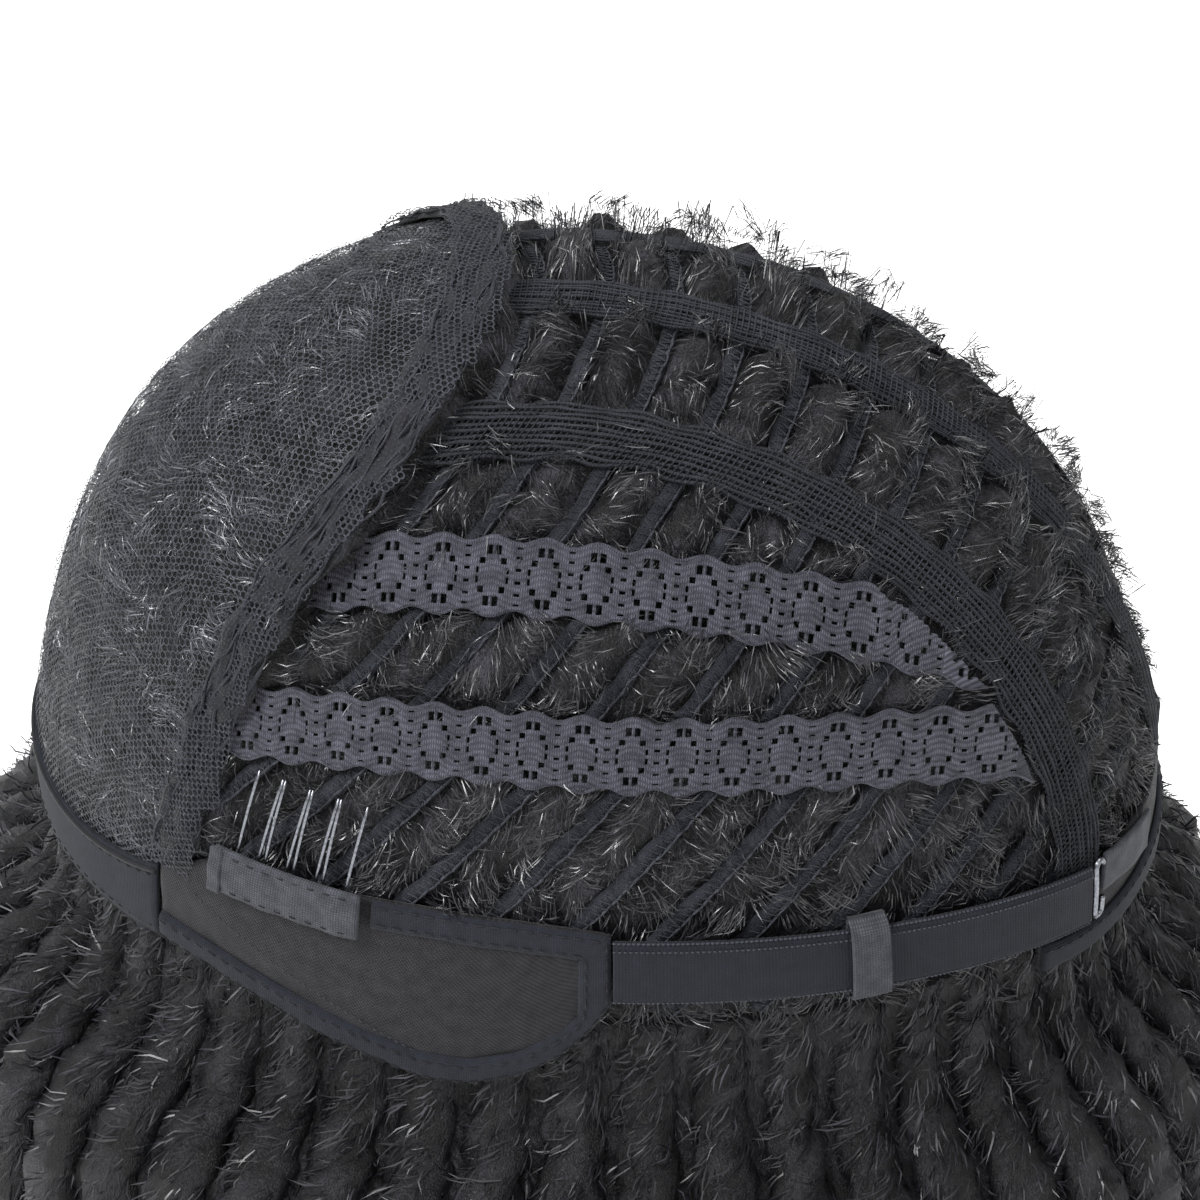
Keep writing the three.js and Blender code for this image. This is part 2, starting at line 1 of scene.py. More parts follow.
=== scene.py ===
import bpy
import numpy as np
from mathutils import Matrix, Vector


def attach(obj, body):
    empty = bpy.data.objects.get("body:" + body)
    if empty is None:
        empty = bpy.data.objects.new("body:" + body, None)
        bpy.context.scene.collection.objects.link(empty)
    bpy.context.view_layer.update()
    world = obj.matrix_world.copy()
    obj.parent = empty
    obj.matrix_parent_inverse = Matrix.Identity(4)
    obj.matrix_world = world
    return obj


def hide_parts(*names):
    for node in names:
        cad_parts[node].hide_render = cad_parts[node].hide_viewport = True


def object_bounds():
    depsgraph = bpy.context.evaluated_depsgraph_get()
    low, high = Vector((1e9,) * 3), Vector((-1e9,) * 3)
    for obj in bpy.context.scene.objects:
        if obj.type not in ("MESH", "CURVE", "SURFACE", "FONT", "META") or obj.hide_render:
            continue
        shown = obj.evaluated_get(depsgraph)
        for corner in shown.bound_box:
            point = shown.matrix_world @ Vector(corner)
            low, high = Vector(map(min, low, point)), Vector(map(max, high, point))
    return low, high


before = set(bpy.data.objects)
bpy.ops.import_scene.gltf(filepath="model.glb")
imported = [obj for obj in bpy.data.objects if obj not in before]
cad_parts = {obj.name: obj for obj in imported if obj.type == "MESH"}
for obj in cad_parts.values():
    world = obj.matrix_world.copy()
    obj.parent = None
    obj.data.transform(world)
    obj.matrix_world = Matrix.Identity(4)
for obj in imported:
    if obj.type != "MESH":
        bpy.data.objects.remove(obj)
cad_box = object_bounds()

# A braid wig turned inside out. Lengths are millimetres with the rim at z = 0, angles are
# degrees, and the forehead lies towards -Y, all as in the CAD part. Each finished mesh is
# moved down by RIM_DROP and turned into metres.
CAP = np.array([77.0, 106.0, 104.0])
MAT_DEPTH = 11.0
RIM_DROP = CAP[2] - MAT_DEPTH
METRES = 0.001

# Layers over the cap's surface
INNER_CLOTH = 0.5
CLOTH = 1.0
OUTER_CLOTH = 2.1
TOP_CLOTH = 3.7
SEAM = 0.4
EDGE_GAP = 1.0
CROWN_BULGE = 5.0
BULGE_FROM = 25.0
BULGE_TO = 85.0

# Wefts, net and hem
WEFT_SLOPE = 50.0
WEFT_COUNT = 13
WEFT_FIRST = 44.8
WEFT_PITCH = 6.8
WEFT_WIDTH = 3.0
NET_EDGE = 40.0
NET_SWEEP = 19.0
NET_SWEEP_HEIGHT = 70.0
NET_LIFT = 0.9
NET_CELL = 1.3
HEM_CELL = 1.15
HEM_WIDTH = 9.0

# Front band and elastic bands
BAND_DROP = 10.0
BAND_RISE = 3.0
BAND_END_RISE = 7.0
BAND_ANGLE = 47.0
LACE_WIDTH = 14.0
LACE_PERIOD = 9.4
LACES = {"upper": (39.5, 4.0), "lower": (58.0, 13.0)}
RIBBED_WIDTH = 10.0
RIBBED_OFFSET = 0.37 * CAP[0]
RIBBED_SPREAD = 0.25
RIBBED_CORDS = 11

# Ear tabs, combs and straps
EAR_FRONT = 47.8
EAR_REAR = 97.6
EAR_DROP = 17.0
EAR_RISE = 23.0
EAR_BINDING = 6.0
EAR_ALONG = [0, 0.13, 0.26, 0.38, 0.5, 0.62, 0.72, 0.82, 0.9, 0.96, 1]
EAR_LOW = [0.35, 0.4, 0.53, 0.7, 0.86, 1, 0.98, 0.76, 0.41, 0, -0.38]
EAR_HIGH = [0.48, 0.78, 0.87, 0.92, 0.97, 1, 1, 1, 0.98, 0.96, 0.93]
POCKET_LENGTH = 31.0
POCKET_HEIGHT = 9.0
POCKET_START = 56.0
POCKET_LOW = 15.0
TOOTH_PAIRS = 4
TOOTH_LENGTH = 17.0
TOOTH_LEAN = 2.5
WIRE = 0.8
STRAP_WIDTH = 13.0
STRAP_FRONT = 14.5
STRAP_REAR = 4.0
STRAP_SAG = 2.2
STRAP_END = 154.0
KEEPER_WIDTH = 7.5
KEEPER_ANGLE = 123.5
HOOK_HEIGHT = 13.0
HOOK_HEAD = 3.6
TAPE_WIDTH = 8.0
TAPE_END = 169.0
TAPE_HEIGHTS = (7.0, 4.0)

# Nape panel
NAPE_ANGLE = 34.0
NAPE_HEIGHT = 19.0
NAPE_TIP = 0.35
NAPE_DIP = 4.0
NAPE_BINDING = 6.0

# Braids
BRAIDS = 48
GROUPS = 12
BRAID_LENGTH = 190
BRAID_DEPTH = 10.0
BRAID_FLARE = 50.0
BRAID_FLARE_AT = 43.0
BRAID_FLARE_REACH = 18.0
BRAID_END_LEAN = 6.0
BRAID_TIP = 0.45
TWIST_PITCH = 24.0
BRAID_DROP_CLEAR = 20.0  # below this the braids have left the cloth over them
INNER_BRAIDS = 4.5  # the braids behind the outer ones lie this much further in
GOLDEN = 0.618034  # steps by this share of a turn never line up
COMBED = np.array([1.0, 1.0, 0.25])  # draws packed hair's streaks out downward

SIDES = {"left": 1, "right": -1}


# Camera at the photograph's viewing angle
RIM_CENTRE = Vector((0, 0, -RIM_DROP * METRES))
AZIMUTH = np.radians(98)
ELEVATION = np.radians(42)
DISTANCE = 1.0
FOCAL_PIXELS = 5230
RIM_PIXEL = (593, 736)  # where the middle of the rim lies in the 1200 x 1200 frame
HALF_FRAME = 600
SENSOR_WIDTH = 36


def make_camera():
    back = Vector((
        np.sin(AZIMUTH) * np.cos(ELEVATION),
        -np.cos(AZIMUTH) * np.cos(ELEVATION),
        np.sin(ELEVATION),
    ))
    right = Vector((0, 0, 1)).cross(back).normalized()
    up = back.cross(right)
    aim = RIM_CENTRE.copy()
    aim += right * (HALF_FRAME - RIM_PIXEL[0]) / FOCAL_PIXELS * DISTANCE
    aim += up * (RIM_PIXEL[1] - HALF_FRAME) / FOCAL_PIXELS * DISTANCE
    data = bpy.data.cameras.new("camera")
    data.sensor_width = SENSOR_WIDTH
    data.lens = SENSOR_WIDTH * FOCAL_PIXELS / (2 * HALF_FRAME)
    data.clip_start = 0.01
    camera = bpy.data.objects.new("camera", data)
    camera.location = RIM_CENTRE + back * DISTANCE
    camera.rotation_euler = (aim - camera.location).to_track_quat("-Z", "Y").to_euler()
    bpy.context.scene.collection.objects.link(camera)
    bpy.context.scene.camera = camera


make_camera()


# Places on the cap
def unit(vectors):
    return vectors / np.maximum(np.linalg.norm(vectors, axis=-1, keepdims=True), 1e-9)


def surface(points):
    """Places moved onto the cap's surface, which is upright below the rim, and its normals."""
    over = np.array(points, dtype=float)
    over[..., 2] = np.maximum(over[..., 2], 0)
    base = unit(over / CAP) * CAP
    normal = unit(base / CAP / CAP)
    base[..., 2] = np.where(points[..., 2] < 0, points[..., 2], base[..., 2])
    return base, normal


def lifted(points, lift):
    base, normal = surface(points)
    moved = base + normal * np.broadcast_to(lift, base.shape[:-1])[..., None]
    moved[..., 2] = np.where(points[..., 2] < 0, points[..., 2], moved[..., 2])
    return moved


def bulge(points):
    """How far the hair lifts what lies freely over it."""
    share = np.clip((points[..., 2] - BULGE_FROM) / (BULGE_TO - BULGE_FROM), 0, 1)
    return CROWN_BULGE * share ** 2 * (3 - 2 * share)


def rim_point(angle, height):
    angle, height = np.broadcast_arrays(np.radians(angle), np.asarray(height, dtype=float))
    ring = np.sqrt(1 - (np.maximum(height, 0) / CAP[2]) ** 2)
    return np.stack([CAP[0] * ring * np.sin(angle), -CAP[1] * ring * np.cos(angle), height], -1)


def rim_angle(points):
    return np.degrees(np.arctan2(np.abs(points[..., 0]) / CAP[0], -points[..., 1] / CAP[1]))


POLE = unit(np.array([
    0,
    -np.sin(np.radians(WEFT_SLOPE)) * CAP[1],
    np.cos(np.radians(WEFT_SLOPE)) * CAP[2],
]))
OVER_CROWN = np.array([0, POLE[2], -POLE[1]])
SIDEWAYS = np.array([1.0, 0, 0])


def weft_point(latitude, turn):
    latitude, turn = np.broadcast_arrays(np.radians(latitude), np.radians(turn))
    out = np.sin(latitude)[..., None]
    return (POLE * np.cos(latitude)[..., None] + OVER_CROWN * out * np.cos(turn)[..., None]
            + SIDEWAYS * out * np.sin(turn)[..., None]) * CAP


def weft_latitude(points):
    return np.degrees(np.arccos(np.clip(unit(points / CAP) @ POLE, -1, 1)))


def behind_net(points):
    """Degrees by which a place lies behind the net's edge."""
    sweep = np.maximum(0, 1 - points[..., 2] / NET_SWEEP_HEIGHT)
    return weft_latitude(points) - NET_EDGE - NET_SWEEP * sweep ** 1.3


def solve(rising, low, high):
    """Halves ranges until the rising function crosses zero in each."""
    for _ in range(36):
        middle = (low + high) / 2
        above = rising(middle) > 0
        high = np.where(above, middle, high)
        low = np.where(above, low, middle)
    return (low + high) / 2


def mm_to_degrees(length):
    return np.degrees(length / CAP[1])


def band_high(angle):
    return BAND_RISE + BAND_END_RISE * (angle / BAND_ANGLE) ** 4


def band_low(angle):
    return -BAND_DROP + 0.4 * BAND_END_RISE * (angle / BAND_ANGLE) ** 4


def net_edge_point(turn):
    zero = np.zeros_like(turn)
    return weft_point(solve(lambda at: behind_net(weft_point(at, turn)), zero + 20, zero + 90), turn)


NET_CORNER = band_high(BAND_ANGLE) + 5
NET_TURN = float(solve(lambda at: NET_CORNER - net_edge_point(at)[..., 2], np.zeros(1), np.full(1, 150.0))[0])


def ribbed_place(side, offset, angle):
    """A place by its distance from a ribbed band's middle and its angle over the crown."""
    angle = np.radians(angle)
    x = side * RIBBED_OFFSET * (1 + RIBBED_SPREAD * (1 - np.sin(angle))) + offset
    ring = np.sqrt(1 - (x / CAP[0]) ** 2)
    return np.stack([x, CAP[1] * ring * np.cos(angle), CAP[2] * ring * np.sin(angle)], -1)


def ribbed_spread(points):
    up = points[..., 2] / CAP[2]
    over = np.hypot(up, points[..., 1] / CAP[1])
    return 1 + RIBBED_SPREAD * (1 - up / np.maximum(over, 1e-6))


def lace_place(lace, side, offset, y):
    middle_angle, sweep = LACES[lace]
    ring = np.sqrt(1 - (y / CAP[1]) ** 2)
    middle = np.radians(middle_angle - sweep * np.maximum(0, y / CAP[1]) ** 2)
    speed = np.hypot(CAP[0] * np.cos(middle), CAP[2] * np.sin(middle))
    turn = middle + offset / (speed * ring)
    return np.stack([side * CAP[0] * ring * np.sin(turn), y + 0 * turn, CAP[2] * ring * np.cos(turn)], -1)


def lace_offset(lace, points):
    middle_angle, sweep = LACES[lace]
    share = np.clip(points[..., 1] / CAP[1], -0.999, 0.999)
    middle = np.radians(middle_angle - sweep * np.maximum(0, share) ** 2)
    speed = np.hypot(CAP[0] * np.cos(middle), CAP[2] * np.sin(middle))
    turn = np.arctan2(np.abs(points[..., 0]) / CAP[0], points[..., 2] / CAP[2])
    return (turn - middle) * speed * np.sqrt(1 - share ** 2)


def lace_stop(points):
    return RIBBED_OFFSET * ribbed_spread(points) + RIBBED_WIDTH / 2 + EDGE_GAP


def ear_low(along):
    return -EAR_DROP * np.interp(along, EAR_ALONG, EAR_LOW)


def ear_high(along):
    return EAR_RISE * np.interp(along, EAR_ALONG, EAR_HIGH)


def ear_place(along, height, side):
    return rim_point(side * (EAR_FRONT + (EAR_REAR - EAR_FRONT) * along), height)


def pocket_place(along, height, side):
    angle = POCKET_START + mm_to_degrees(along * POCKET_LENGTH)
    return rim_point(side * angle, POCKET_LOW + height)


def strap_height(angle):
    share = np.clip((angle - EAR_REAR) / (STRAP_END - EAR_REAR), 0, 1.2)
    return STRAP_FRONT + (STRAP_REAR - STRAP_FRONT) * share ** STRAP_SAG


def nape_share(angle):
    return np.minimum(1, (180 - angle) / NAPE_ANGLE)


def nape_edge(angle, up):
    """Height of the nape panel's lower edge with up -1, and of its upper edge with up 1."""
    half = NAPE_HEIGHT / 2 * (1 - (1 - NAPE_TIP) * nape_share(angle) ** 4)
    return -NAPE_DIP * nape_share(angle) ** 2 + up * half


def under_net(points, margin=0.4):
    base, _ = surface(points)
    behind = np.radians(behind_net(base)) * CAP[1]
    above = base[..., 2] > band_high(np.minimum(rim_angle(base), BAND_ANGLE))
    return (behind < HEM_WIDTH / 2 + margin) & above


def covered(points, margin=0.4):
    """Where a band, tab, strap or panel lies over a place."""
    base, _ = surface(points)
    x = np.abs(base[..., 0])
    z = base[..., 2]
    angle = rim_angle(base)
    reach = RIBBED_WIDTH / 2 + margin
    crown = (z > 0) & (behind_net(base) > 0)
    offset = RIBBED_OFFSET * ribbed_spread(base)
    hidden = crown & ((x < reach) | (np.abs(x - offset) < reach))
    for lace in LACES:
        on_lace = np.abs(lace_offset(lace, base)) < LACE_WIDTH / 2 - 0.4 + margin
        hidden |= crown & on_lace & (x > lace_stop(base))
    along = (angle - EAR_FRONT) / (EAR_REAR - EAR_FRONT)
    on_tab = (along > 0) & (along < 1) & (z > ear_low(along) - margin) & (z < ear_high(along) + margin)
    on_strap = (angle >= EAR_REAR) & (angle < STRAP_END + 3)
    on_strap &= np.abs(z - strap_height(angle)) < STRAP_WIDTH / 2 + margin
    on_band = (angle < BAND_ANGLE + 1) & (z > band_low(angle) - margin) & (z < band_high(angle) + 1)
    on_nape = (angle > 180 - NAPE_ANGLE) & (z > nape_edge(angle, -1) - margin)
    on_nape &= z < nape_edge(angle, 1) + margin
    return hidden | on_tab | on_strap | on_band | on_nape


def ripple(points, length, seed):
    """Smooth noise from about -1 to 1 whose bumps are about this long."""
    draw = np.random.default_rng(seed)
    total = 0
    waves = 7
    for _ in range(waves):
        way = unit(draw.normal(size=3)) * 2 * np.pi / (length * draw.uniform(0.7, 1.5))
        total = total + np.sin(points @ way + draw.uniform(0, 2 * np.pi))
    return total / np.sqrt(waves)


# Meshes. A form is its points, a list of face arrays, and its place in the cloth.
def outward(points, faces):
    volume = 0
    for block in faces:
        corners = points[block[:, :3]]
        volume += np.sum(corners[:, 0] * np.cross(corners[:, 1], corners[:, 2]))
        if block.shape[1] == 4:
            corners = points[block[:, [0, 2, 3]]]
            volume += np.sum(corners[:, 0] * np.cross(corners[:, 1], corners[:, 2]))
    return faces if volume > 0 else [block[:, ::-1] for block in faces]


def grid_cloth(places):
    """Millimetres along the rows and across the columns of a grid of places."""
    along = np.cumsum(np.linalg.norm(np.diff(places, axis=0, prepend=places[:1]), axis=-1), 0)
    across = np.cumsum(np.linalg.norm(np.diff(places, axis=1, prepend=places[:, :1]), axis=-1), 1)
    middle = along[:, along.shape[1] // 2]
    return np.stack([np.broadcast_to(middle[:, None], across.shape), across, 0 * across], -1)


def shell(places, low, high):
    """A closed wall over a grid of places, between two lifts that may vary over it."""
    rows, columns = places.shape[:2]
    count = rows * columns
    points = np.concatenate([lifted(places, low).reshape(-1, 3), lifted(places, high).reshape(-1, 3)])
    at = np.arange(count).reshape(rows, columns)
    cell = np.stack([at[:-1, :-1], at[:-1, 1:], at[1:, 1:], at[1:, :-1]], -1).reshape(-1, 4)
    border = np.concatenate([at[0, :-1], at[:-1, -1], at[-1, :0:-1], at[:0:-1, 0]])
    following = np.roll(border, -1)
    walls = np.stack([border, border + count, following + count, following], -1)
    cloth = grid_cloth(places).reshape(-1, 3)
    faces = outward(points, [cell, cell[:, ::-1] + count, walls])
    return points, faces, np.concatenate([cloth, cloth])


def tubes(paths, radius, sides=6, flat=1.0):
    """Closed tubes along equal-length paths, given as an array of paths by points by 3."""
    paths = np.asarray(paths, dtype=float)
    count, length = paths.shape[:2]
    tangent = unit(np.gradient(paths, axis=1))
    _, normal = surface(paths)
    across = unit(np.cross(tangent, normal))
    rise = np.cross(across, tangent)
    turn = np.arange(sides) / sides * 2 * np.pi
    size = np.broadcast_to(radius, (count, length))[..., None, None]
    ring = across[:, :, None] * np.cos(turn)[:, None] + flat * rise[:, :, None] * np.sin(turn)[:, None]
    points = (paths[:, :, None] + ring * size).reshape(-1, 3)
    at = np.arange(count * length * sides).reshape(count, length, sides)
    near, far = at[:, :-1], at[:, 1:]
    walls = np.stack([near, np.roll(near, -1, 2), np.roll(far, -1, 2), far], -1).reshape(-1, 4)
    ends = np.concatenate([at[:, 0, ::-1], at[:, -1]])
    step = np.linalg.norm(np.diff(paths, axis=1, prepend=paths[:, :1]), axis=-1)
    run = np.cumsum(step, 1)[..., None] + np.zeros(sides)
    around = np.broadcast_to(turn, run.shape) * np.max(size)
    cloth = np.stack([run, around, 0 * run], -1).reshape(-1, 3)
    return points, [walls, ends], cloth


def ribbons(paths, width, across, tone):
    """Tapered strands along paths, each a few quads and a triangle at its tip, with a tone."""
    count, length = paths.shape[:2]
    taper = np.interp(np.arange(length - 1), [0, 1, length - 1], [0.7, 1, 0.45])
    half = across[:, None] * (width[:, None] * taper / 2)[..., None]
    edges = np.stack([paths[:, :-1] - half, paths[:, :-1] + half], 2).reshape(count, -1, 3)
    points = np.concatenate([edges, paths[:, -1:]], 1).reshape(-1, 3)
    each = 2 * (length - 1) + 1
    start = np.arange(count)[:, None] * each
    quads = [start + np.array([2 * i, 2 * i + 1, 2 * i + 3, 2 * i + 2]) for i in range(length - 2)]
    tip = start + np.array([each - 3, each - 2, each - 1])
    share = np.repeat(np.linspace(0, 1, length)[:-1], 2).tolist() + [1.0]
    cloth = np.zeros((count, each, 3))
    cloth[..., 0] = share
    cloth[..., 1] = np.asarray(tone)[:, None]
    return points, [np.concatenate(quads), tip], cloth.reshape(-1, 3)


def joined(forms):
    """Forms put together as one."""
    points = np.concatenate([form[0] for form in forms])
    cloth = np.concatenate([form[2] for form in forms])
    blocks = {}
    start = 0
    for form in forms:
        for block in form[1]:
            blocks.setdefault(block.shape[1], []).append(block + start)
        start += len(form[0])
    return points, [np.concatenate(same) for same in blocks.values()], cloth


def piece(name, form, look, nodes=(), smooth=True):
    points, faces, cloth = form
    world = (points - np.array([0, 0, RIM_DROP])) * METRES
    mesh = bpy.data.meshes.new(name)
    mesh.vertices.add(len(world))
    mesh.vertices.foreach_set("co", world.ravel().astype(np.float32))
    sizes = np.concatenate([np.full(len(block), block.shape[1]) for block in faces])
    corners = np.concatenate([block.ravel() for block in faces])
    mesh.loops.add(len(corners))
    mesh.loops.foreach_set("vertex_index", corners.astype(np.int32))
    mesh.polygons.add(len(sizes))
    mesh.polygons.foreach_set("loop_start", (np.cumsum(sizes) - sizes).astype(np.int32))
    mesh.polygons.foreach_set("use_smooth", np.full(len(sizes), smooth))
    mesh.update(calc_edges=True)
    place = mesh.attributes.new("cloth", "FLOAT_VECTOR", "POINT")
    place.data.foreach_set("vector", cloth.ravel().astype(np.float32))
    mesh.materials.append(look)
    made = bpy.data.objects.new(name, mesh)
    bpy.context.scene.collection.objects.link(made)
    if nodes:
        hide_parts(*nodes)
    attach(made, "root")
    return made


def resampled(path, count):
    run = np.concatenate([[0], np.cumsum(np.linalg.norm(np.diff(path, axis=0), axis=1))])
    at = np.linspace(0, run[-1], count)
    return np.stack([np.interp(at, run, path[:, k]) for k in range(3)], 1)


def path_length(path):
    return float(np.sum(np.linalg.norm(np.diff(path, axis=0), axis=1)))


def offset_path(path, offset):
    """A path on the cap moved sideways by millimetres."""
    tangent = np.gradient(path, axis=0)
    _, normal = surface(path)
    return path + unit(np.cross(normal, tangent)) * np.asarray(offset)[..., None]


def stitches(path, lift, length=1.5, gap=1.1, radius=0.16, swell=None):
    """Short raised stitches along a path at a lift over the cap."""
    count = max(1, int(path_length(path) / (length + gap)))
    per = 12
    fine = resampled(path, count * per + 1)
    last = max(2, int(per * length / (length + gap)))
    picks = np.arange(count)[:, None] * per + np.array([0, last // 2, last])
    runs = lifted(fine[picks], lift if swell is None else lift + swell(fine[picks]))
    middle = runs[:, 1]
    _, normal = surface(middle)
    runs[:, 1] += normal * radius
    return tubes(runs, radius, 5)


def cord(path, lift, radius, sides=6, step=1.5):
    fine = resampled(path, max(3, int(path_length(path) / step)))
    return tubes(lifted(fine, lift)[None], radius, sides)


# Materials
def node_tree(name):
    made = bpy.data.materials.new(name)
    made.use_nodes = True
    return made, made.node_tree.nodes, made.node_tree.links


def wave(nodes, links, source, axis, period, slant=0.0):
    """A sine from 0 to 1 along one axis of the cloth, in millimetres."""
    split = nodes.new("ShaderNodeSeparateXYZ")
    links.new(source, split.inputs[0])
    along = split.outputs[axis]
    if slant:
        tilt = nodes.new("ShaderNodeMath")
        tilt.operation = "MULTIPLY_ADD"
        links.new(split.outputs[1 - axis], tilt.inputs[0])
        tilt.inputs[1].default_value = slant
        links.new(along, tilt.inputs[2])
        along = tilt.outputs[0]
    turn = nodes.new("ShaderNodeMath")
    turn.operation = "MULTIPLY"
    links.new(along, turn.inputs[0])
    turn.inputs[1].default_value = 2 * np.pi / period
    sine = nodes.new("ShaderNodeMath")
    sine.operation = "SINE"
    links.new(turn.outputs[0], sine.inputs[0])
    half = nodes.new("ShaderNodeMath")
    half.operation = "MULTIPLY_ADD"
    links.new(sine.outputs[0], half.inputs[0])
    half.inputs[1].default_value = 0.5
    half.inputs[2].default_value = 0.5
    return half.outputs[0]


def noise(nodes, links, source, scale, detail=3.0):
    made = nodes.new("ShaderNodeTexNoise")
    made.inputs["Scale"].default_value = scale
    made.inputs["Detail"].default_value = detail
    links.new(source, made.inputs["Vector"])
    return made.outputs["Fac"]


def combined(nodes, links, first, second, operation="MULTIPLY"):
    made = nodes.new("ShaderNodeMath")
    made.operation = operation
    links.new(first, made.inputs[0])
    links.new(second, made.inputs[1])
    return made.outputs[0]


def ramp(nodes, links, source, dark, light, low=0.0, high=1.0):
    made = nodes.new("ShaderNodeValToRGB")
    made.color_ramp.elements[0].position = low
    made.color_ramp.elements[0].color = (*dark, 1)
    made.color_ramp.elements[1].position = high
    made.color_ramp.elements[1].color = (*light, 1)
    links.new(source, made.inputs[0])
    return made.outputs[0]


def cloth_look(name, dark, light, periods, roughness=0.75, sheen=0.25, depth=0.12, slant=0.0, fuzz=2.2):
    """Woven cloth: threads of two periods in millimetres, wear, and a bump that follows them."""
    made, nodes, links = node_tree(name)
    shader = nodes["Principled BSDF"]
    shader.inputs["Roughness"].default_value = roughness
    shader.inputs["Specular IOR Level"].default_value = 0.25
    shader.inputs["Sheen Weight"].default_value = sheen
    shader.inputs["Sheen Roughness"].default_value = 0.45
    place = nodes.new("ShaderNodeAttribute")
    place.attribute_name = "cloth"
    warp = wave(nodes, links, place.outputs["Vector"], 0, periods[0], slant)
    woof = wave(nodes, links, place.outputs["Vector"], 1, periods[1], 0.0)
    weave = combined(nodes, links, warp, woof)
    wear = noise(nodes, links, place.outputs["Vector"], 0.35)
    specks = noise(nodes, links, place.outputs["Vector"], fuzz, 5.0)
    mixed = combined(nodes, links, weave, specks, "ADD")
    mixed = combined(nodes, links, mixed, wear)
    links.new(ramp(nodes, links, mixed, dark, light, 0.15, 0.95), shader.inputs["Base Color"])
    height = combined(nodes, links, weave, specks, "ADD")
    bump = nodes.new("ShaderNodeBump")
    bump.inputs["Strength"].default_value = 0.8
    bump.inputs["Distance"].default_value = depth * METRES
    links.new(height, bump.inputs["Height"])
    links.new(bump.outputs["Normal"], shader.inputs["Normal"])
    return made


OWN_TONE = 0.5  # the share of a strand's tone that is its own


def tuft_tone(base, draw, seed):
    spread = 0.25 + 0.14 * ripple(base, 9, seed) + draw.normal(0, 0.08, len(base))
    return np.clip(spread, 0, OWN_TONE)


def hair_look(name, colours, roughness, specular):
    """Strands whose tone is partly their own and partly their tuft's; the palest tones are painted highlights
    on a share of the strands.
    """
    made, nodes, links = node_tree(name)
    shader = nodes["Principled BSDF"]
    shader.inputs["Roughness"].default_value = roughness
    shader.inputs["Specular IOR Level"].default_value = specular
    shade = nodes.new("ShaderNodeNewGeometry")
    tones = nodes.new("ShaderNodeValToRGB")
    tones.color_ramp.elements[0].color = (*colours[0], 1)
    tones.color_ramp.elements[1].color = (*colours[-1], 1)
    for i, colour in enumerate(colours[1:-1]):
        tones.color_ramp.elements.new((i + 1) / (len(colours) - 1)).color = (*colour, 1)
    place = nodes.new("ShaderNodeAttribute")
    place.attribute_name = "cloth"
    split = nodes.new("ShaderNodeSeparateXYZ")
    links.new(place.outputs["Vector"], split.inputs[0])
    mixed = nodes.new("ShaderNodeMath")
    mixed.operation = "MULTIPLY_ADD"
    mixed.inputs[1].default_value = OWN_TONE
    links.new(shade.outputs["Random Per Island"], mixed.inputs[0])
    links.new(split.outputs[1], mixed.inputs[2])
    links.new(mixed.outputs[0], tones.inputs[0])
    links.new(tones.outputs[0], shader.inputs["Base Color"])
    return made


def core_look(name, light):
    """Packed hair between the strands: fine combed streaks that bend about, lightened towards the given light
    colour as painted glints.
    """
    made, nodes, links = node_tree(name)
    shader = nodes["Principled BSDF"]
    shader.inputs["Roughness"].default_value = 0.5
    shader.inputs["Specular IOR Level"].default_value = 0.3
    place = nodes.new("ShaderNodeAttribute")
    place.attribute_name = "cloth"
    streaks = noise(nodes, links, place.outputs["Vector"], 1.9, 5.0)
    streaks.node.inputs["Distortion"].default_value = 1.6
    patches = noise(nodes, links, place.outputs["Vector"], 0.16, 2.0)
    mixed = combined(nodes, links, streaks, patches, "MULTIPLY")
    links.new(ramp(nodes, links, mixed, (0.0005, 0.0005, 0.001), light, 0.235, 0.34),
              shader.inputs["Base Color"])
    bump = nodes.new("ShaderNodeBump")
    bump.inputs["Strength"].default_value = 1.0
    bump.inputs["Distance"].default_value = 0.6 * METRES
    links.new(streaks, bump.inputs["Height"])
    links.new(bump.outputs["Normal"], shader.inputs["Normal"])
    return made


def steel_look():
    made, nodes, links = node_tree("steel wire")
    shader = nodes["Principled BSDF"]
    shader.inputs["Metallic"].default_value = 1
    place = nodes.new("ShaderNodeAttribute")
    place.attribute_name = "cloth"
    marks = noise(nodes, links, place.outputs["Vector"], 1.5, 4.0)
    links.new(ramp(nodes, links, marks, (0.09, 0.095, 0.11), (0.24, 0.25, 0.27), 0.3, 0.7),
              shader.inputs["Base Color"])
    rough = nodes.new("ShaderNodeMapRange")
    rough.inputs["To Min"].default_value = 0.2
    rough.inputs["To Max"].default_value = 0.42
    links.new(marks, rough.inputs["Value"])
    links.new(rough.outputs[0], shader.inputs["Roughness"])
    return made


# In each strand palette the darker colours are the hair's own tones and the palest is painted highlight.
STRAND = hair_look("hair strands", [
    (0.0015, 0.0015, 0.0025), (0.004, 0.004, 0.006), (0.010, 0.010, 0.013), (0.045, 0.043, 0.052)], 0.32, 0.5)
# The hair under the net is the same hair as the rest, given a palette that runs up to pale grey: painted
# sheen of hair seen through the net.
NETTED_STRAND_PAINTED_SHEEN = hair_look("hair strands under net with painted sheen", [
    (0.003, 0.003, 0.0045), (0.012, 0.012, 0.016), (0.050, 0.052, 0.062), (0.20, 0.205, 0.23)], 0.32, 0.5)
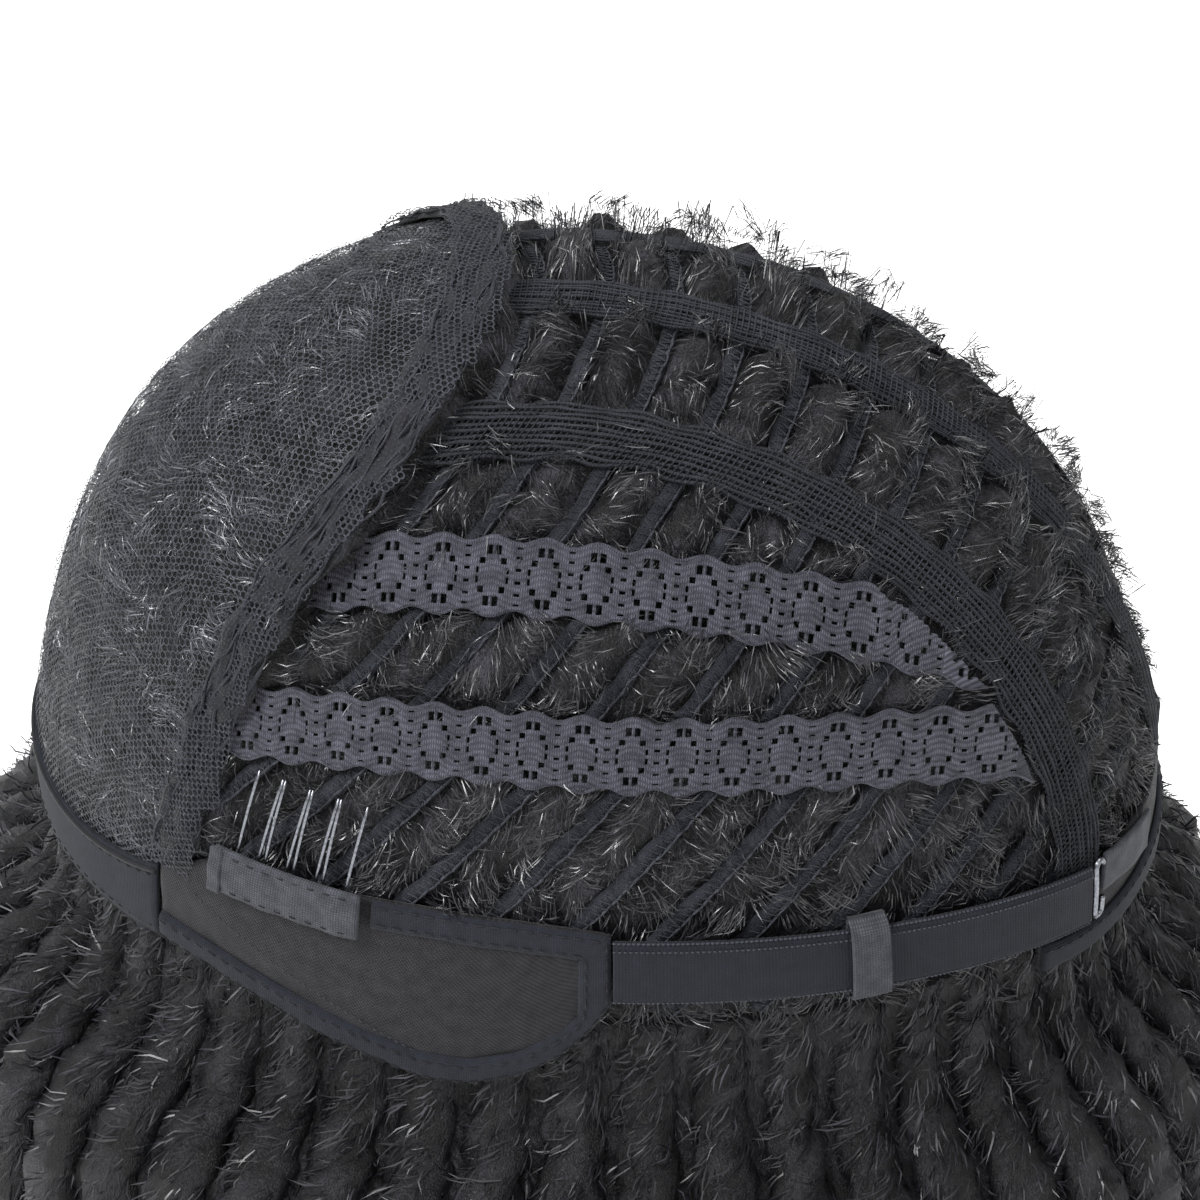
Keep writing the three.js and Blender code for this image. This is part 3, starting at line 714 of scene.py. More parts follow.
# The light colour of each packed-hair look is the colour of the painted glints on its streaks.
CORE = core_look("packed hair", (0.024, 0.024, 0.031))
TWIST_CORE = core_look("packed hair of the braids", (0.012, 0.012, 0.016))
BRAID_STRAND = hair_look("braid strands", [
    (0.001, 0.001, 0.002), (0.004, 0.004, 0.006), (0.012, 0.012, 0.016), (0.040, 0.040, 0.050)], 0.4, 0.4)
NET = cloth_look("net thread", (0.012, 0.013, 0.017), (0.058, 0.062, 0.076), (0.5, 0.5), 0.6, 0.04, 0.04)
HEM = cloth_look("gathered net", (0.004, 0.004, 0.006), (0.020, 0.021, 0.027), (0.9, 0.7), 0.75, 0.05, 0.25)
HEM_NET = cloth_look("doubled net", (0.006, 0.0065, 0.010), (0.040, 0.043, 0.056),
                     (0.6, 0.6), 0.65, 0.04, 0.1)
BINDING = cloth_look("woven tape", (0.003, 0.004, 0.007), (0.014, 0.016, 0.025), (0.45, 0.45), 0.85, 0.03)
WEFT = cloth_look("sewn weft", (0.005, 0.006, 0.010), (0.026, 0.029, 0.041), (0.5, 0.6), 0.65, 0.05, 0.2)
RIBBED = cloth_look("ribbed elastic", (0.002, 0.0025, 0.004), (0.030, 0.032, 0.045), (0.55, 0.4), 0.7, 0.04)
LACE = cloth_look("lace thread", (0.010, 0.010, 0.016), (0.094, 0.093, 0.122), (0.42, 1.1), 0.7, 0.07, 0.25)
TWILL = cloth_look("tab twill", (0.001, 0.001, 0.0015), (0.022, 0.0215, 0.027),
                   (0.8, 0.45), 0.8, 0.04, 0.15, 0.8)
STRAP = cloth_look("strap elastic", (0.001, 0.0015, 0.004), (0.008, 0.010, 0.020), (0.6, 0.35), 0.75, 0.03)
LOOP = cloth_look("loop tape", (0.014, 0.015, 0.019), (0.066, 0.069, 0.083), (0.5, 0.5), 0.75, 0.05)
STITCH = cloth_look("stitch thread", (0.016, 0.018, 0.025), (0.075, 0.080, 0.100), (0.4, 0.3), 0.6, 0.05)
DARK_STITCH = cloth_look("dark stitch thread", (0.003, 0.003, 0.004), (0.012, 0.013, 0.018),
                         (0.4, 0.3), 0.7, 0.05)
STEEL = steel_look()


# Hair under the cap
def weft_phase(points):
    """0 at a weft and 1 midway between two."""
    rows = (weft_latitude(points) - WEFT_FIRST) / WEFT_PITCH
    return np.sin(np.pi * (rows - np.floor(rows))) ** 2


def mat_core():
    rows, columns = 46, 126
    up, round_ = np.meshgrid(np.linspace(0, 1, rows), np.arange(columns) / columns * 2 * np.pi, indexing="ij")
    rise = up ** 0.9 * np.pi / 2
    ball = np.stack([np.cos(rise) * np.cos(round_), np.cos(rise) * np.sin(round_), np.sin(rise)], -1)
    places = ball * CAP
    lumps = ripple(places, 11, 1)
    shifts = [(0, 0, 0), (4, 0, 0), (-4, 0, 0), (0, 4, 0), (0, -4, 0), (0, 0, 4), (0, 0, -4)]
    hidden = np.mean([covered(places + np.array(shift), 0.5) for shift in shifts], 0)
    puffs = weft_phase(places) * (1 - 0.85 * hidden)
    depth = -2.9 + (1.8 + 1.0 * bulge(places)) * puffs + 0.7 * lumps
    depth = np.where(covered(places, 0.5), -2.2 + 0.4 * lumps, depth)
    netted = -0.7 + 0.97 * bulge(places) + 0.35 * lumps
    under_hem = np.abs(np.radians(behind_net(places)) * CAP[1]) < HEM_WIDTH / 2
    netted = np.where(under_hem, 0.5 + 0.97 * bulge(places), netted)
    depth = np.where(under_net(places), netted, depth)
    outer = lifted(places, depth)
    outer[0, :, 2] = 0
    inner = ball * (CAP - MAT_DEPTH)
    points = np.concatenate([outer.reshape(-1, 3), inner.reshape(-1, 3)])
    at = np.arange(rows * columns).reshape(rows, columns)
    near, far = at[:-1], at[1:]
    cells = np.stack([near, np.roll(near, -1, 1), np.roll(far, -1, 1), far], -1).reshape(-1, 4)
    count = rows * columns
    foot = np.stack([at[0], at[0] + count, np.roll(at[0], -1) + count, np.roll(at[0], -1)], -1)
    cloth = np.concatenate([places.reshape(-1, 3), inner.reshape(-1, 3)]) * COMBED
    return points, [cells, cells[:, ::-1] + count, foot], cloth


def strand_paths(roots, normals, heading, rise, fall, length, bend, count=4):
    """Paths that leave the roots along their heading, rise, fall over and bend sideways."""
    side = np.cross(normals, heading)
    at = roots
    path = [at]
    for i in range(count - 1):
        share = (i + 0.5) / (count - 1)
        tilt = rise + (fall - rise) * share
        yaw = bend * share
        flat = heading * np.cos(yaw)[:, None] + side * np.sin(yaw)[:, None]
        way = flat * np.cos(tilt)[:, None] + normals * np.sin(tilt)[:, None]
        at = at + way * (length / (count - 1))[:, None]
        path.append(at)
    return np.stack(path, 1)


def turned(normals, heading, angle):
    side = np.cross(normals, heading)
    return heading * np.cos(angle)[:, None] + side * np.sin(angle)[:, None]


def under_ceiling(paths, ceiling):
    """Paths pressed down to a height over the cap's surface."""
    base, normal = surface(paths)
    height = np.sum((paths - base) * normal, -1)
    pressed = np.minimum(height, ceiling)
    return paths + normal * (pressed - height)[..., None]


def strand_across(paths, normals, draw):
    along = unit(paths[:, -1] - paths[:, 0])
    side = unit(np.cross(along, normals))
    rise = np.cross(side, along)
    roll = draw.normal(0, 0.7, len(paths))
    return side * np.cos(roll)[:, None] + rise * np.sin(roll)[:, None]


def cap_ceiling(paths, draw):
    """How high hair may stand: under cloth, beside a weft, near the combs and in the open."""
    rows = (weft_latitude(paths) - WEFT_FIRST) / WEFT_PITCH
    nearest = np.abs(rows - np.round(rows)) * np.radians(WEFT_PITCH) * 95
    on_row = (np.round(rows) >= 0) & (np.round(rows) < WEFT_COUNT) & (nearest < 1.7)
    loose = draw.uniform(size=len(paths))[:, None] < 0.16
    ceiling = np.where(on_row & ~loose, -1.7, 5.0 + 1.4 * bulge(paths))
    angle = rim_angle(paths)
    near_comb = (angle > 54) & (angle < 76) & (paths[..., 2] < 43) & (paths[..., 2] > 0)
    ceiling = np.where(near_comb, np.minimum(ceiling, 1.7), ceiling)
    ceiling = np.where(under_net(paths), 0.5 + bulge(paths), ceiling)
    over_cloth = (draw.uniform(size=len(paths))[:, None] < 0.10) & (paths[..., 2] > 50)
    return np.where(covered(paths), np.where(over_cloth, 3.0, -0.25), ceiling)


def even_dome(count, draw):
    """Places spread evenly over the dome, each moved a little."""
    at = np.arange(count) + 0.5
    rise = at / count
    turn = at * np.pi * (3 - np.sqrt(5))
    flat = np.sqrt(1 - rise ** 2)
    ball = np.stack([flat * np.cos(turn), flat * np.sin(turn), rise], -1)
    ball = unit(ball + draw.normal(0, 0.35 / np.sqrt(count), ball.shape))
    ball[:, 2] = np.abs(ball[:, 2])
    return ball * CAP


def cap_hair(tuft_count, per_tuft, seed, netted, rear=False):
    """Combed tufts over the dome, either under the net or behind it."""
    draw = np.random.default_rng(seed)
    centres = even_dome(tuft_count, draw)
    behind = behind_net(centres)
    keep = (behind < 2) if netted else (behind > -1)
    if not netted:
        keep &= (centres[:, 1] > 12) == rear
        keep &= ~covered(centres, -2.0) | (draw.uniform(size=len(centres)) < 0.35)
    centres = centres[keep]
    base, normal = surface(centres)
    down = np.array([0, 0, -1.0]) - normal * (normal @ np.array([0, 0, -1.0]))[:, None]
    flow = ripple(base, 24, seed + 1) * 1.5 + draw.normal(0, 0.6, len(base))
    heading = turned(normal, unit(down), flow)
    lump = ripple(base, 12, seed + 2)
    puffs = weft_phase(base)
    start = -2.8 + (2.8 + 1.3 * bulge(base)) * puffs + 0.9 * lump
    if netted:
        start = -0.5 + 0.96 * bulge(base) + 0.35 * lump
    repeat = np.repeat(np.arange(len(base)), per_tuft)
    count = len(repeat)
    normals = normal[repeat]
    ways = heading[repeat]
    side = np.cross(normals, ways)
    fan = draw.normal(0, 1, count)
    roots = base[repeat] + side * (fan * 1.15)[:, None] + ways * draw.normal(0, 1.3, count)[:, None]
    roots += normals * (start[repeat] + draw.normal(0, 0.5, count))[:, None]
    ways = turned(normals, ways, fan * 0.13 + draw.normal(0, 0.12, count))
    length = np.repeat(draw.uniform(3.8, 6.6, len(base)), per_tuft) * draw.uniform(0.6, 1.2, count)
    rise = np.repeat(draw.uniform(0.5, 1.15, len(base)), per_tuft) + draw.normal(0, 0.16, count)
    fall = np.repeat(draw.uniform(-0.7, 0.4, len(base)), per_tuft) + draw.normal(0, 0.2, count)
    bend = np.repeat(draw.normal(0, 0.55, len(base)), per_tuft) + draw.normal(0, 0.2, count)
    paths = strand_paths(roots, normals, ways, rise, fall, length, bend, 3)
    paths = under_ceiling(paths, cap_ceiling(paths, draw))
    paths[..., 2] = np.maximum(paths[..., 2], -8)
    width = draw.uniform(0.13, 0.26, count)
    tone = tuft_tone(base, draw, seed + 5)[repeat]
    return ribbons(paths, width, strand_across(paths, normals, draw), tone)


def stray_hair(count, seed):
    """Long single curls that lie loose over the rest."""
    draw = np.random.default_rng(seed)
    centres = even_dome(count, draw)
    centres = centres[(behind_net(centres) > 2) & ~covered(centres)]
    base, normal = surface(centres)
    heading = unit(np.cross(normal, draw.normal(size=base.shape)))
    roots = base + normal * (-1.2 + 0.9 * bulge(base) * weft_phase(base))[:, None]
    many = len(base)
    paths = strand_paths(roots, normal, heading, draw.uniform(0.5, 1.3, many), draw.uniform(-0.9, 0, many),
                         draw.uniform(7, 13, many), draw.normal(0, 2.0, many), 8)
    limit = np.where(covered(paths), -0.2, 6.0 + bulge(paths))
    paths = under_ceiling(paths, limit)
    across = strand_across(paths, normal, draw)
    return ribbons(paths, draw.uniform(0.12, 0.2, many), across, np.full(many, OWN_TONE / 2))


def make_cap_hair():
    piece("hair_core", mat_core(), CORE, ["hair_mat"])
    piece("cap_hair_fore", cap_hair(4300, 21, 11, False), STRAND)
    piece("cap_hair_rear", cap_hair(4300, 21, 12, False, rear=True), STRAND)
    piece("cap_hair_strays", stray_hair(1500, 13), STRAND)
    piece("net_hair", cap_hair(3400, 16, 14, True), NETTED_STRAND_PAINTED_SHEEN)


# Net front
def hex_wrap(flat):
    """Places on the cap of a flat layout round the wefts' pole."""
    across = flat[..., 0] / 82.0
    over = flat[..., 1] / 105.0
    far = np.minimum(np.hypot(across, over), 1.9)
    latitude = np.degrees(2 * np.arcsin(far / 2))
    return weft_point(latitude, np.degrees(np.arctan2(across, over)))


def hex_net(spacing, inside, lift, seed, thread=0.12, rumple=0.35):
    """A sheet of thin threads round hexagonal holes, where inside says that a cell is kept."""
    reach = 125
    side = spacing / np.sqrt(3)
    rows = np.arange(-int(reach / side / 1.5), int(reach / side / 1.5) + 1)
    columns = np.arange(-int(reach / spacing), int(reach / spacing) + 1)
    row, column = (x.ravel() for x in np.meshgrid(rows, columns, indexing="ij"))
    # Whole numbers count half cells across and half sides over
    centre = np.stack([2 * column + row % 2, 3 * row], -1)
    unit_size = np.array([spacing / 2, side / 2])
    middle = hex_wrap(centre * unit_size)
    kept = (np.hypot(*(centre * unit_size).T) < reach) & inside(middle)
    centre = centre[kept]
    upper = np.array([[0, 2], [-1, -1], [1, -1]])  # corners with a thread that rises from them
    lower = np.array([[1, 1], [-1, 1], [0, -2]])

    def known(offsets):
        corners = (centre[:, None] + offsets).reshape(-1, 2)
        return np.unique(corners, axis=0)

    def codes(corners):
        return (corners[:, 0] + 5000) * 100000 + corners[:, 1] + 5000

    up_corners, down_corners = known(upper), known(lower)
    down_codes = codes(down_corners)
    order = np.argsort(down_codes)
    steps = [(0, 2), (-1, -1), (1, -1)]
    between = np.radians([150, 270, 30])  # the junction's points, each between two threads
    points = []
    for corners, turn in ((up_corners, 0.0), (down_corners, np.pi)):
        for angle in between:
            shift = np.array([np.cos(angle + turn), np.sin(angle + turn)]) * thread
            points.append(corners * unit_size + shift)
    ups, downs = len(up_corners), len(down_corners)
    up_at = np.arange(3)[None] * ups + np.arange(ups)[:, None]
    down_at = 3 * ups + np.arange(3)[None] * downs + np.arange(downs)[:, None]
    triangles = np.concatenate([up_at, down_at])
    quads = []
    for k, step in enumerate(steps):
        goal = codes(up_corners + np.array(step))
        found = np.searchsorted(down_codes[order], goal)
        found = np.minimum(found, downs - 1)
        match = order[found]
        real = down_codes[match] == goal
        start, finish = up_at[real], down_at[match[real]]
        # a thread joins the two points on each side of its angle, at both of its ends
        left, right = k, (k - 1) % 3
        quads.append(np.stack([start[:, right], finish[:, left], finish[:, right], start[:, left]], -1))
    flat = np.concatenate(points)
    wrapped = hex_wrap(flat)
    wrinkle = rumple * ripple(wrapped, 17, seed) + 0.3 * rumple * ripple(wrapped, 5, seed + 1)
    cloth = np.concatenate([flat, np.zeros((len(flat), 1))], 1)
    return lifted(wrapped, lift(wrapped) + wrinkle), [triangles, np.concatenate(quads)], cloth


def net_cells(places):
    angle = rim_angle(places)
    over_band = places[:, 2] > band_high(np.minimum(angle, BAND_ANGLE)) + 0.6
    return (behind_net(places) < 0.4) & over_band


def hem_cells(places):
    behind = np.radians(behind_net(places)) * CAP[1]
    frayed = HEM_WIDTH / 2 + 0.9 * ripple(places, 9, 45) + 0.6 * ripple(places, 3, 46)
    return (np.abs(behind) < frayed) & (places[:, 2] > NET_CORNER - 3)


def hem():
    steps = 360
    turn = np.linspace(-NET_TURN, NET_TURN, steps)
    path = resampled(net_edge_point(turn), steps)
    across = np.linspace(-0.5, 0.5, 9)
    wobble = ripple(path, 14, 41) * 0.8
    width = HEM_WIDTH * (1.0 + 0.10 * ripple(path, 7, 42))
    places = np.stack([offset_path(path, share * width + wobble) for share in across], 1)
    folds = np.sin(across[None] * 17 + 2.4 * ripple(places, 15, 43))
    pucker = ripple(places, 3.4, 44)
    edge = 1 - (2 * across[None]) ** 6
    high = 1.8 + bulge(places) + (0.55 * folds + 0.45 * pucker + 0.5) * edge
    return shell(places, high - 0.6, high)


def hem_threads():
    """Sewing along the hem, in uneven rows."""
    turn = np.linspace(-NET_TURN, NET_TURN, 300)
    path = resampled(net_edge_point(turn), 300)
    rows = []
    for offset, seed in [(-3.0, 1), (3.2, 3)]:
        line = offset_path(path, offset + 0.6 * ripple(path, 6, seed))
        rows.append(stitches(line, 3.0, 1.6, 1.6, 0.13, swell=bulge))
    return joined(rows)


def hem_gathers():
    """Folds that run along the hem and wander over it."""
    steps = 260
    path = resampled(net_edge_point(np.linspace(-NET_TURN, NET_TURN, steps)), steps)
    folds = []
    for k in range(9):
        line = offset_path(path, (k - 4) * 1.0 + 0.8 * ripple(path + 5 * k, 10, 240 + k))
        thick = 0.26 + 0.12 * ripple(path, 8, 250 + k)
        lift = 2.25 + bulge(line) + 0.35 * ripple(line, 7, 260 + k)
        folds.append(tubes(lifted(line, lift)[None], np.maximum(thick, 0.1)[None], 4, 0.8))
    return joined(folds)


def make_net():
    sheet = hex_net(NET_CELL, net_cells, lambda places: NET_LIFT + bulge(places), 31)
    net = piece("net", sheet, NET, ["front_net"])
    base = piece("hem", hem(), HEM, ["net_hem"])
    doubled = hex_net(HEM_CELL, hem_cells, lambda places: 2.8 + bulge(places), 33, 0.14, 0.9)
    gathers = piece("hem_net", joined([doubled, hem_threads(), hem_gathers()]), HEM_NET)
    edge = path_length(net_edge_point(np.linspace(-NET_TURN, NET_TURN, 360)))


def band_path(up, steps=90):
    angle = np.linspace(-BAND_ANGLE, BAND_ANGLE, steps)
    return rim_point(angle, band_low(angle) + (band_high(angle) - band_low(angle)) * up)


def make_front_band():
    ups = np.linspace(0, 1, 11)
    places = np.stack([band_path(up) for up in ups], 1)
    puff = 0.25 * np.sin(np.pi * ups)[None] + 0.12 * ripple(places, 16, 51)
    band = shell(places, INNER_CLOTH, INNER_CLOTH + CLOTH + puff)
    band_piece = piece("hairline_band", band, BINDING, ["front_band"])
    seams = [
        cord(band_path(0.93), INNER_CLOTH + CLOTH + 0.2, 0.5),
        stitches(band_path(0.86), INNER_CLOTH + CLOTH + 0.15, 1.4, 1.4, 0.13),
        stitches(band_path(0.1), INNER_CLOTH + CLOTH + 0.1, 1.4, 1.4, 0.13),
    ]
    sewn = piece("hairline_seams", joined(seams), DARK_STITCH)


# Wefts
def make_wefts():
    for number in range(WEFT_COUNT):
        middle = WEFT_FIRST + number * WEFT_PITCH

        def past(turn):
            place = weft_point(middle, turn)
            return np.maximum(2 - place[..., 2], -behind_net(place) - 2)

        reach = float(solve(past, np.zeros(1), np.full(1, 179.0))[0])
        rough = weft_point(middle, np.linspace(-reach, reach, 200))
        length = path_length(rough)
        steps = max(10, int(length / 2.0))
        path = resampled(rough, steps)
        path = offset_path(path, 0.3 * ripple(path, 9, 60 + number))
        body = tubes(lifted(path, -1.25 + 0.15 * ripple(path, 5, 80 + number))[None],
                     WEFT_WIDTH / 2 * (1 + 0.10 * ripple(path, 6, 90 + number))[None], 8, 0.62)
        loops = int(length / 1.5)
        fine = resampled(rough, loops * 2 + 1)
        swing = np.where(np.arange(len(fine)) % 2, 1.15, -1.0)
        zigzag = lifted(offset_path(fine, swing), -0.25)
        zigzag_form = tubes(zigzag[None], 0.2, 3)
        edge = resampled(rough, int(length / 1.1))
        edge = offset_path(edge, 1.15 + 0.12 * ripple(edge, 3, 70 + number))
        chain = 0.24 + 0.10 * np.sin(np.arange(len(edge)) * 2 * np.pi / 2.6)
        chain_form = tubes(lifted(edge, -0.35)[None], chain[None], 4)
        name = "weft_%02d" % (number + 1)
        piece("sewn_" + name, body, WEFT, [name])
        piece("thread_" + name, joined([zigzag_form, chain_form]), STITCH)


# Elastic bands
def ribbed_line(side, offset, steps):
    low = np.full(1, 10.0)
    gap = mm_to_degrees(EDGE_GAP)
    start = solve(lambda at: gap - behind_net(ribbed_place(side, offset, at)), low, low + 140)[0]

    def over_nape(at):
        place = ribbed_place(side, offset, at)
        return place[..., 2] - nape_edge(rim_angle(place), 1) - EDGE_GAP

    end = solve(over_nape, low * 0, low * 0 + 80)[0]
    return ribbed_place(side, offset, np.linspace(start, end, steps))


def make_ribbed_band(name, side):
    steps = 120
    cords = []
    spacing = RIBBED_WIDTH / (RIBBED_CORDS - 0.5)
    middle = ribbed_line(side, 0.0, steps)
    phase = (weft_latitude(middle) - WEFT_FIRST) / WEFT_PITCH * np.pi
    belly = np.sin(phase) ** 2
    for k in range(RIBBED_CORDS):
        offset = (k - (RIBBED_CORDS - 1) / 2) * spacing
        line = ribbed_line(side, offset, steps)
        outer = (2 * abs(offset) / RIBBED_WIDTH) ** 4
        shift = 0.9 * np.sign(offset) * outer * belly + 0.16 * ripple(line + k * 3, 9, 100 + k)
        line = offset_path(line, shift)
        knots = 0.36 + 0.06 * np.sin(np.arange(steps) * 2.1 + k)
        lift = 1.0 + 0.16 * ripple(line, 11, 103) + 0.16 * (k % 2)
        cords.append(tubes(lifted(line, lift)[None], knots[None], 4, 0.9))
    ladder = []
    rungs = int(path_length(middle) / 1.1)
    edges = [resampled(ribbed_line(side, share * (RIBBED_WIDTH - 0.6), steps), rungs)
             for share in (-0.5, 0, 0.5)]
    cross = np.stack(edges, 1)
    ladder.append(tubes(lifted(cross, 1.2), 0.16, 3))
    piece("ribbed_" + name, joined(cords + ladder), RIBBED, [name])


LACE_CHART = """
#################
#################
.###############.
######..#..######
######..#..######
######..#..######
.###############.
####..#####..####
####..#####..####
#################
.##.#########.##.
###.#########.###
#################
###.#########.###
.##.#########.##.
#################
####..#####..####
####..#####..####
.###############.
######..#..######
######..#..######
######..#..######
.###############.
#################
#################
""".split()


def make_lace(name, lace, side):
    rows = len(LACE_CHART)
    repeat = len(LACE_CHART[0])
    offsets = (np.arange(rows + 1) / rows - 0.5) * LACE_WIDTH
    gap = mm_to_degrees(EDGE_GAP)
    lows = np.full(rows + 1, 0.0)
    start = solve(lambda y: behind_net(lace_place(lace, side, offsets, y)) - gap, lows - 0.9 * CAP[1], lows)

    def at_stop(y):
        place = lace_place(lace, side, offsets, y)
        return lace_stop(place) - np.abs(place[..., 0])

    end = solve(at_stop, lows, lows + 0.98 * CAP[1])
    length = path_length(lace_place(lace, side, 0.0, np.linspace(start[rows // 2], end[rows // 2], 60)))
    periods = int(round(length / LACE_PERIOD))
    spare = 3  # repeats that reach past the slanted ends, which are cut off
    columns = (periods + 2 * spare) * repeat
    share = (np.arange(columns + 1) / repeat - spare) / periods
    middle_row = rows // 2
    even = start[middle_row] + share[:, None] * (end - start)[middle_row]
    y = np.clip(even, start[None], end[None])
    swell = 1 - 0.075 * (1 + np.cos(share * periods * 2 * np.pi))
    scallop = offsets[None] * (1 + (swell[:, None] - 1) * np.abs(offsets[None] / LACE_WIDTH * 2) ** 2 * 1.3)
    places = lace_place(lace, side, scallop, y)
    solid = np.array([[cell == "#" for cell in line] for line in LACE_CHART]).T
    mask = np.tile(solid, (periods + 2 * spare, 1))
    mask &= (y[1:, :-1] - y[:-1, :-1] > 0.01) & (y[1:, 1:] - y[:-1, 1:] > 0.01)
    threads = 0.10 * np.sin(np.arange(columns + 1) * np.pi)[:, None]
    high = INNER_CLOTH + CLOTH * 0.85 + threads + 0.22 * ripple(places, 12, 120)
    rim_puff = 0.18 * (np.abs(offsets[None] / LACE_WIDTH * 2) > 0.93)
    high = high + rim_puff
    low = np.full_like(high, INNER_CLOTH + 0.15)
    points = np.concatenate([lifted(places, low).reshape(-1, 3), lifted(places, high).reshape(-1, 3)])
    count = (columns + 1) * (rows + 1)
    at = np.arange(count).reshape(columns + 1, rows + 1)
    quad = np.stack([at[:-1, :-1], at[:-1, 1:], at[1:, 1:], at[1:, :-1]], -1)
    cells = quad[mask]
    padded = np.pad(mask, 1)
    walls = []
    for first, second, near in [(0, 1, padded[:-2, 1:-1]), (1, 2, padded[1:-1, 2:]),
                                (2, 3, padded[2:, 1:-1]), (3, 0, padded[1:-1, :-2])]:
        edge = quad[mask & ~near]
        a, b = edge[:, first], edge[:, second]
        walls.append(np.stack([a, a + count, b + count, b], -1))
    cloth = grid_cloth(places).reshape(-1, 3)
    used = np.zeros(2 * count, bool)
    faces = [cells, cells[:, ::-1] + count, np.concatenate(walls)]
    for block in faces:
        used[block.ravel()] = True
    fresh = np.cumsum(used) - 1
    faces = outward(points, faces)
    form = points[used], [fresh[block] for block in faces], np.concatenate([cloth, cloth])[used]
    picots = []
    for edge in (0, rows):
        line = places[(y[:, edge] > start[edge]) & (y[:, edge] < end[edge]), edge]
        picots.append(cord(line, INNER_CLOTH + 0.75, 0.3, 5, 1.1))
    piece("openwork_" + name, joined([form] + picots), LACE, [name])


# Ear tabs, combs and their pockets
def make_ear_tab(side_name, side):
    along = np.linspace(0, 1, 61)
    ups = np.linspace(0, 1, 21)
    places = np.stack([
        ear_place(along, ear_low(along) + (ear_high(along) - ear_low(along)) * up, side) for up in ups], 1)
    puff = 0.22 * ripple(places, 15, 130)
    tab_form = shell(places, INNER_CLOTH, INNER_CLOTH + CLOTH + puff)
    tab = piece("tab_" + side_name, tab_form, TWILL, ["ear_tab_" + side_name])
    length = CAP[1] * np.radians(EAR_REAR - EAR_FRONT)
    inset = EAR_BINDING / length
    pocket_end = POCKET_START + mm_to_degrees(POCKET_LENGTH)
    top_start = (pocket_end - EAR_FRONT) / (EAR_REAR - EAR_FRONT) + 0.02
    lower = np.linspace(0, 1, 60)
    upper = np.linspace(1, top_start, 26)[1:]
    rear = np.linspace(ear_low(1.0), ear_high(1.0), 10)[1:]
    outline_along = np.concatenate([lower, np.ones(9), upper])
    outline_height = np.concatenate([ear_low(lower), rear, ear_high(upper)])
    shares = np.linspace(0, 1, 9)
    inner_along = np.minimum(outline_along, 1 - inset)
    lowest = ear_low(inner_along) + EAR_BINDING
    highest = ear_high(inner_along) - EAR_BINDING
    inner_height = np.clip(outline_height, lowest, highest)
    tape = np.stack([ear_place(
        outline_along + (inner_along - outline_along) * share,
        outline_height + (inner_height - outline_height) * share, side) for share in shares], 1)
    roll = np.sqrt(np.clip(1 - (2 * shares - 1) ** 6, 0, 1))
    high = 1.7 + 0.75 * roll[None] + 0.15 * ripple(tape, 8, 131)
    low = np.full_like(high, 1.5)
    bound = piece("tab_tape_" + side_name, shell(tape, low, high), BINDING,
                  ["ear_binding_" + side_name])
    seam = [
        stitches(tape[:, 6], 2.6, 1.7, 1.2, 0.15),
        stitches(tape[:, 1], 2.55, 1.7, 1.2, 0.13),
    ]
    sewn = piece("tab_stitches_" + side_name, joined(seam), DARK_STITCH)
    diagonal_along = np.linspace(0.1, 0.66, 40)
    diagonal = ear_place(diagonal_along, 9 - 22 * (diagonal_along - 0.1) / 0.56, side)
    thread = piece("tab_thread_" + side_name, stitches(diagonal, 1.75, 0.8, 0.7, 0.10), STITCH)


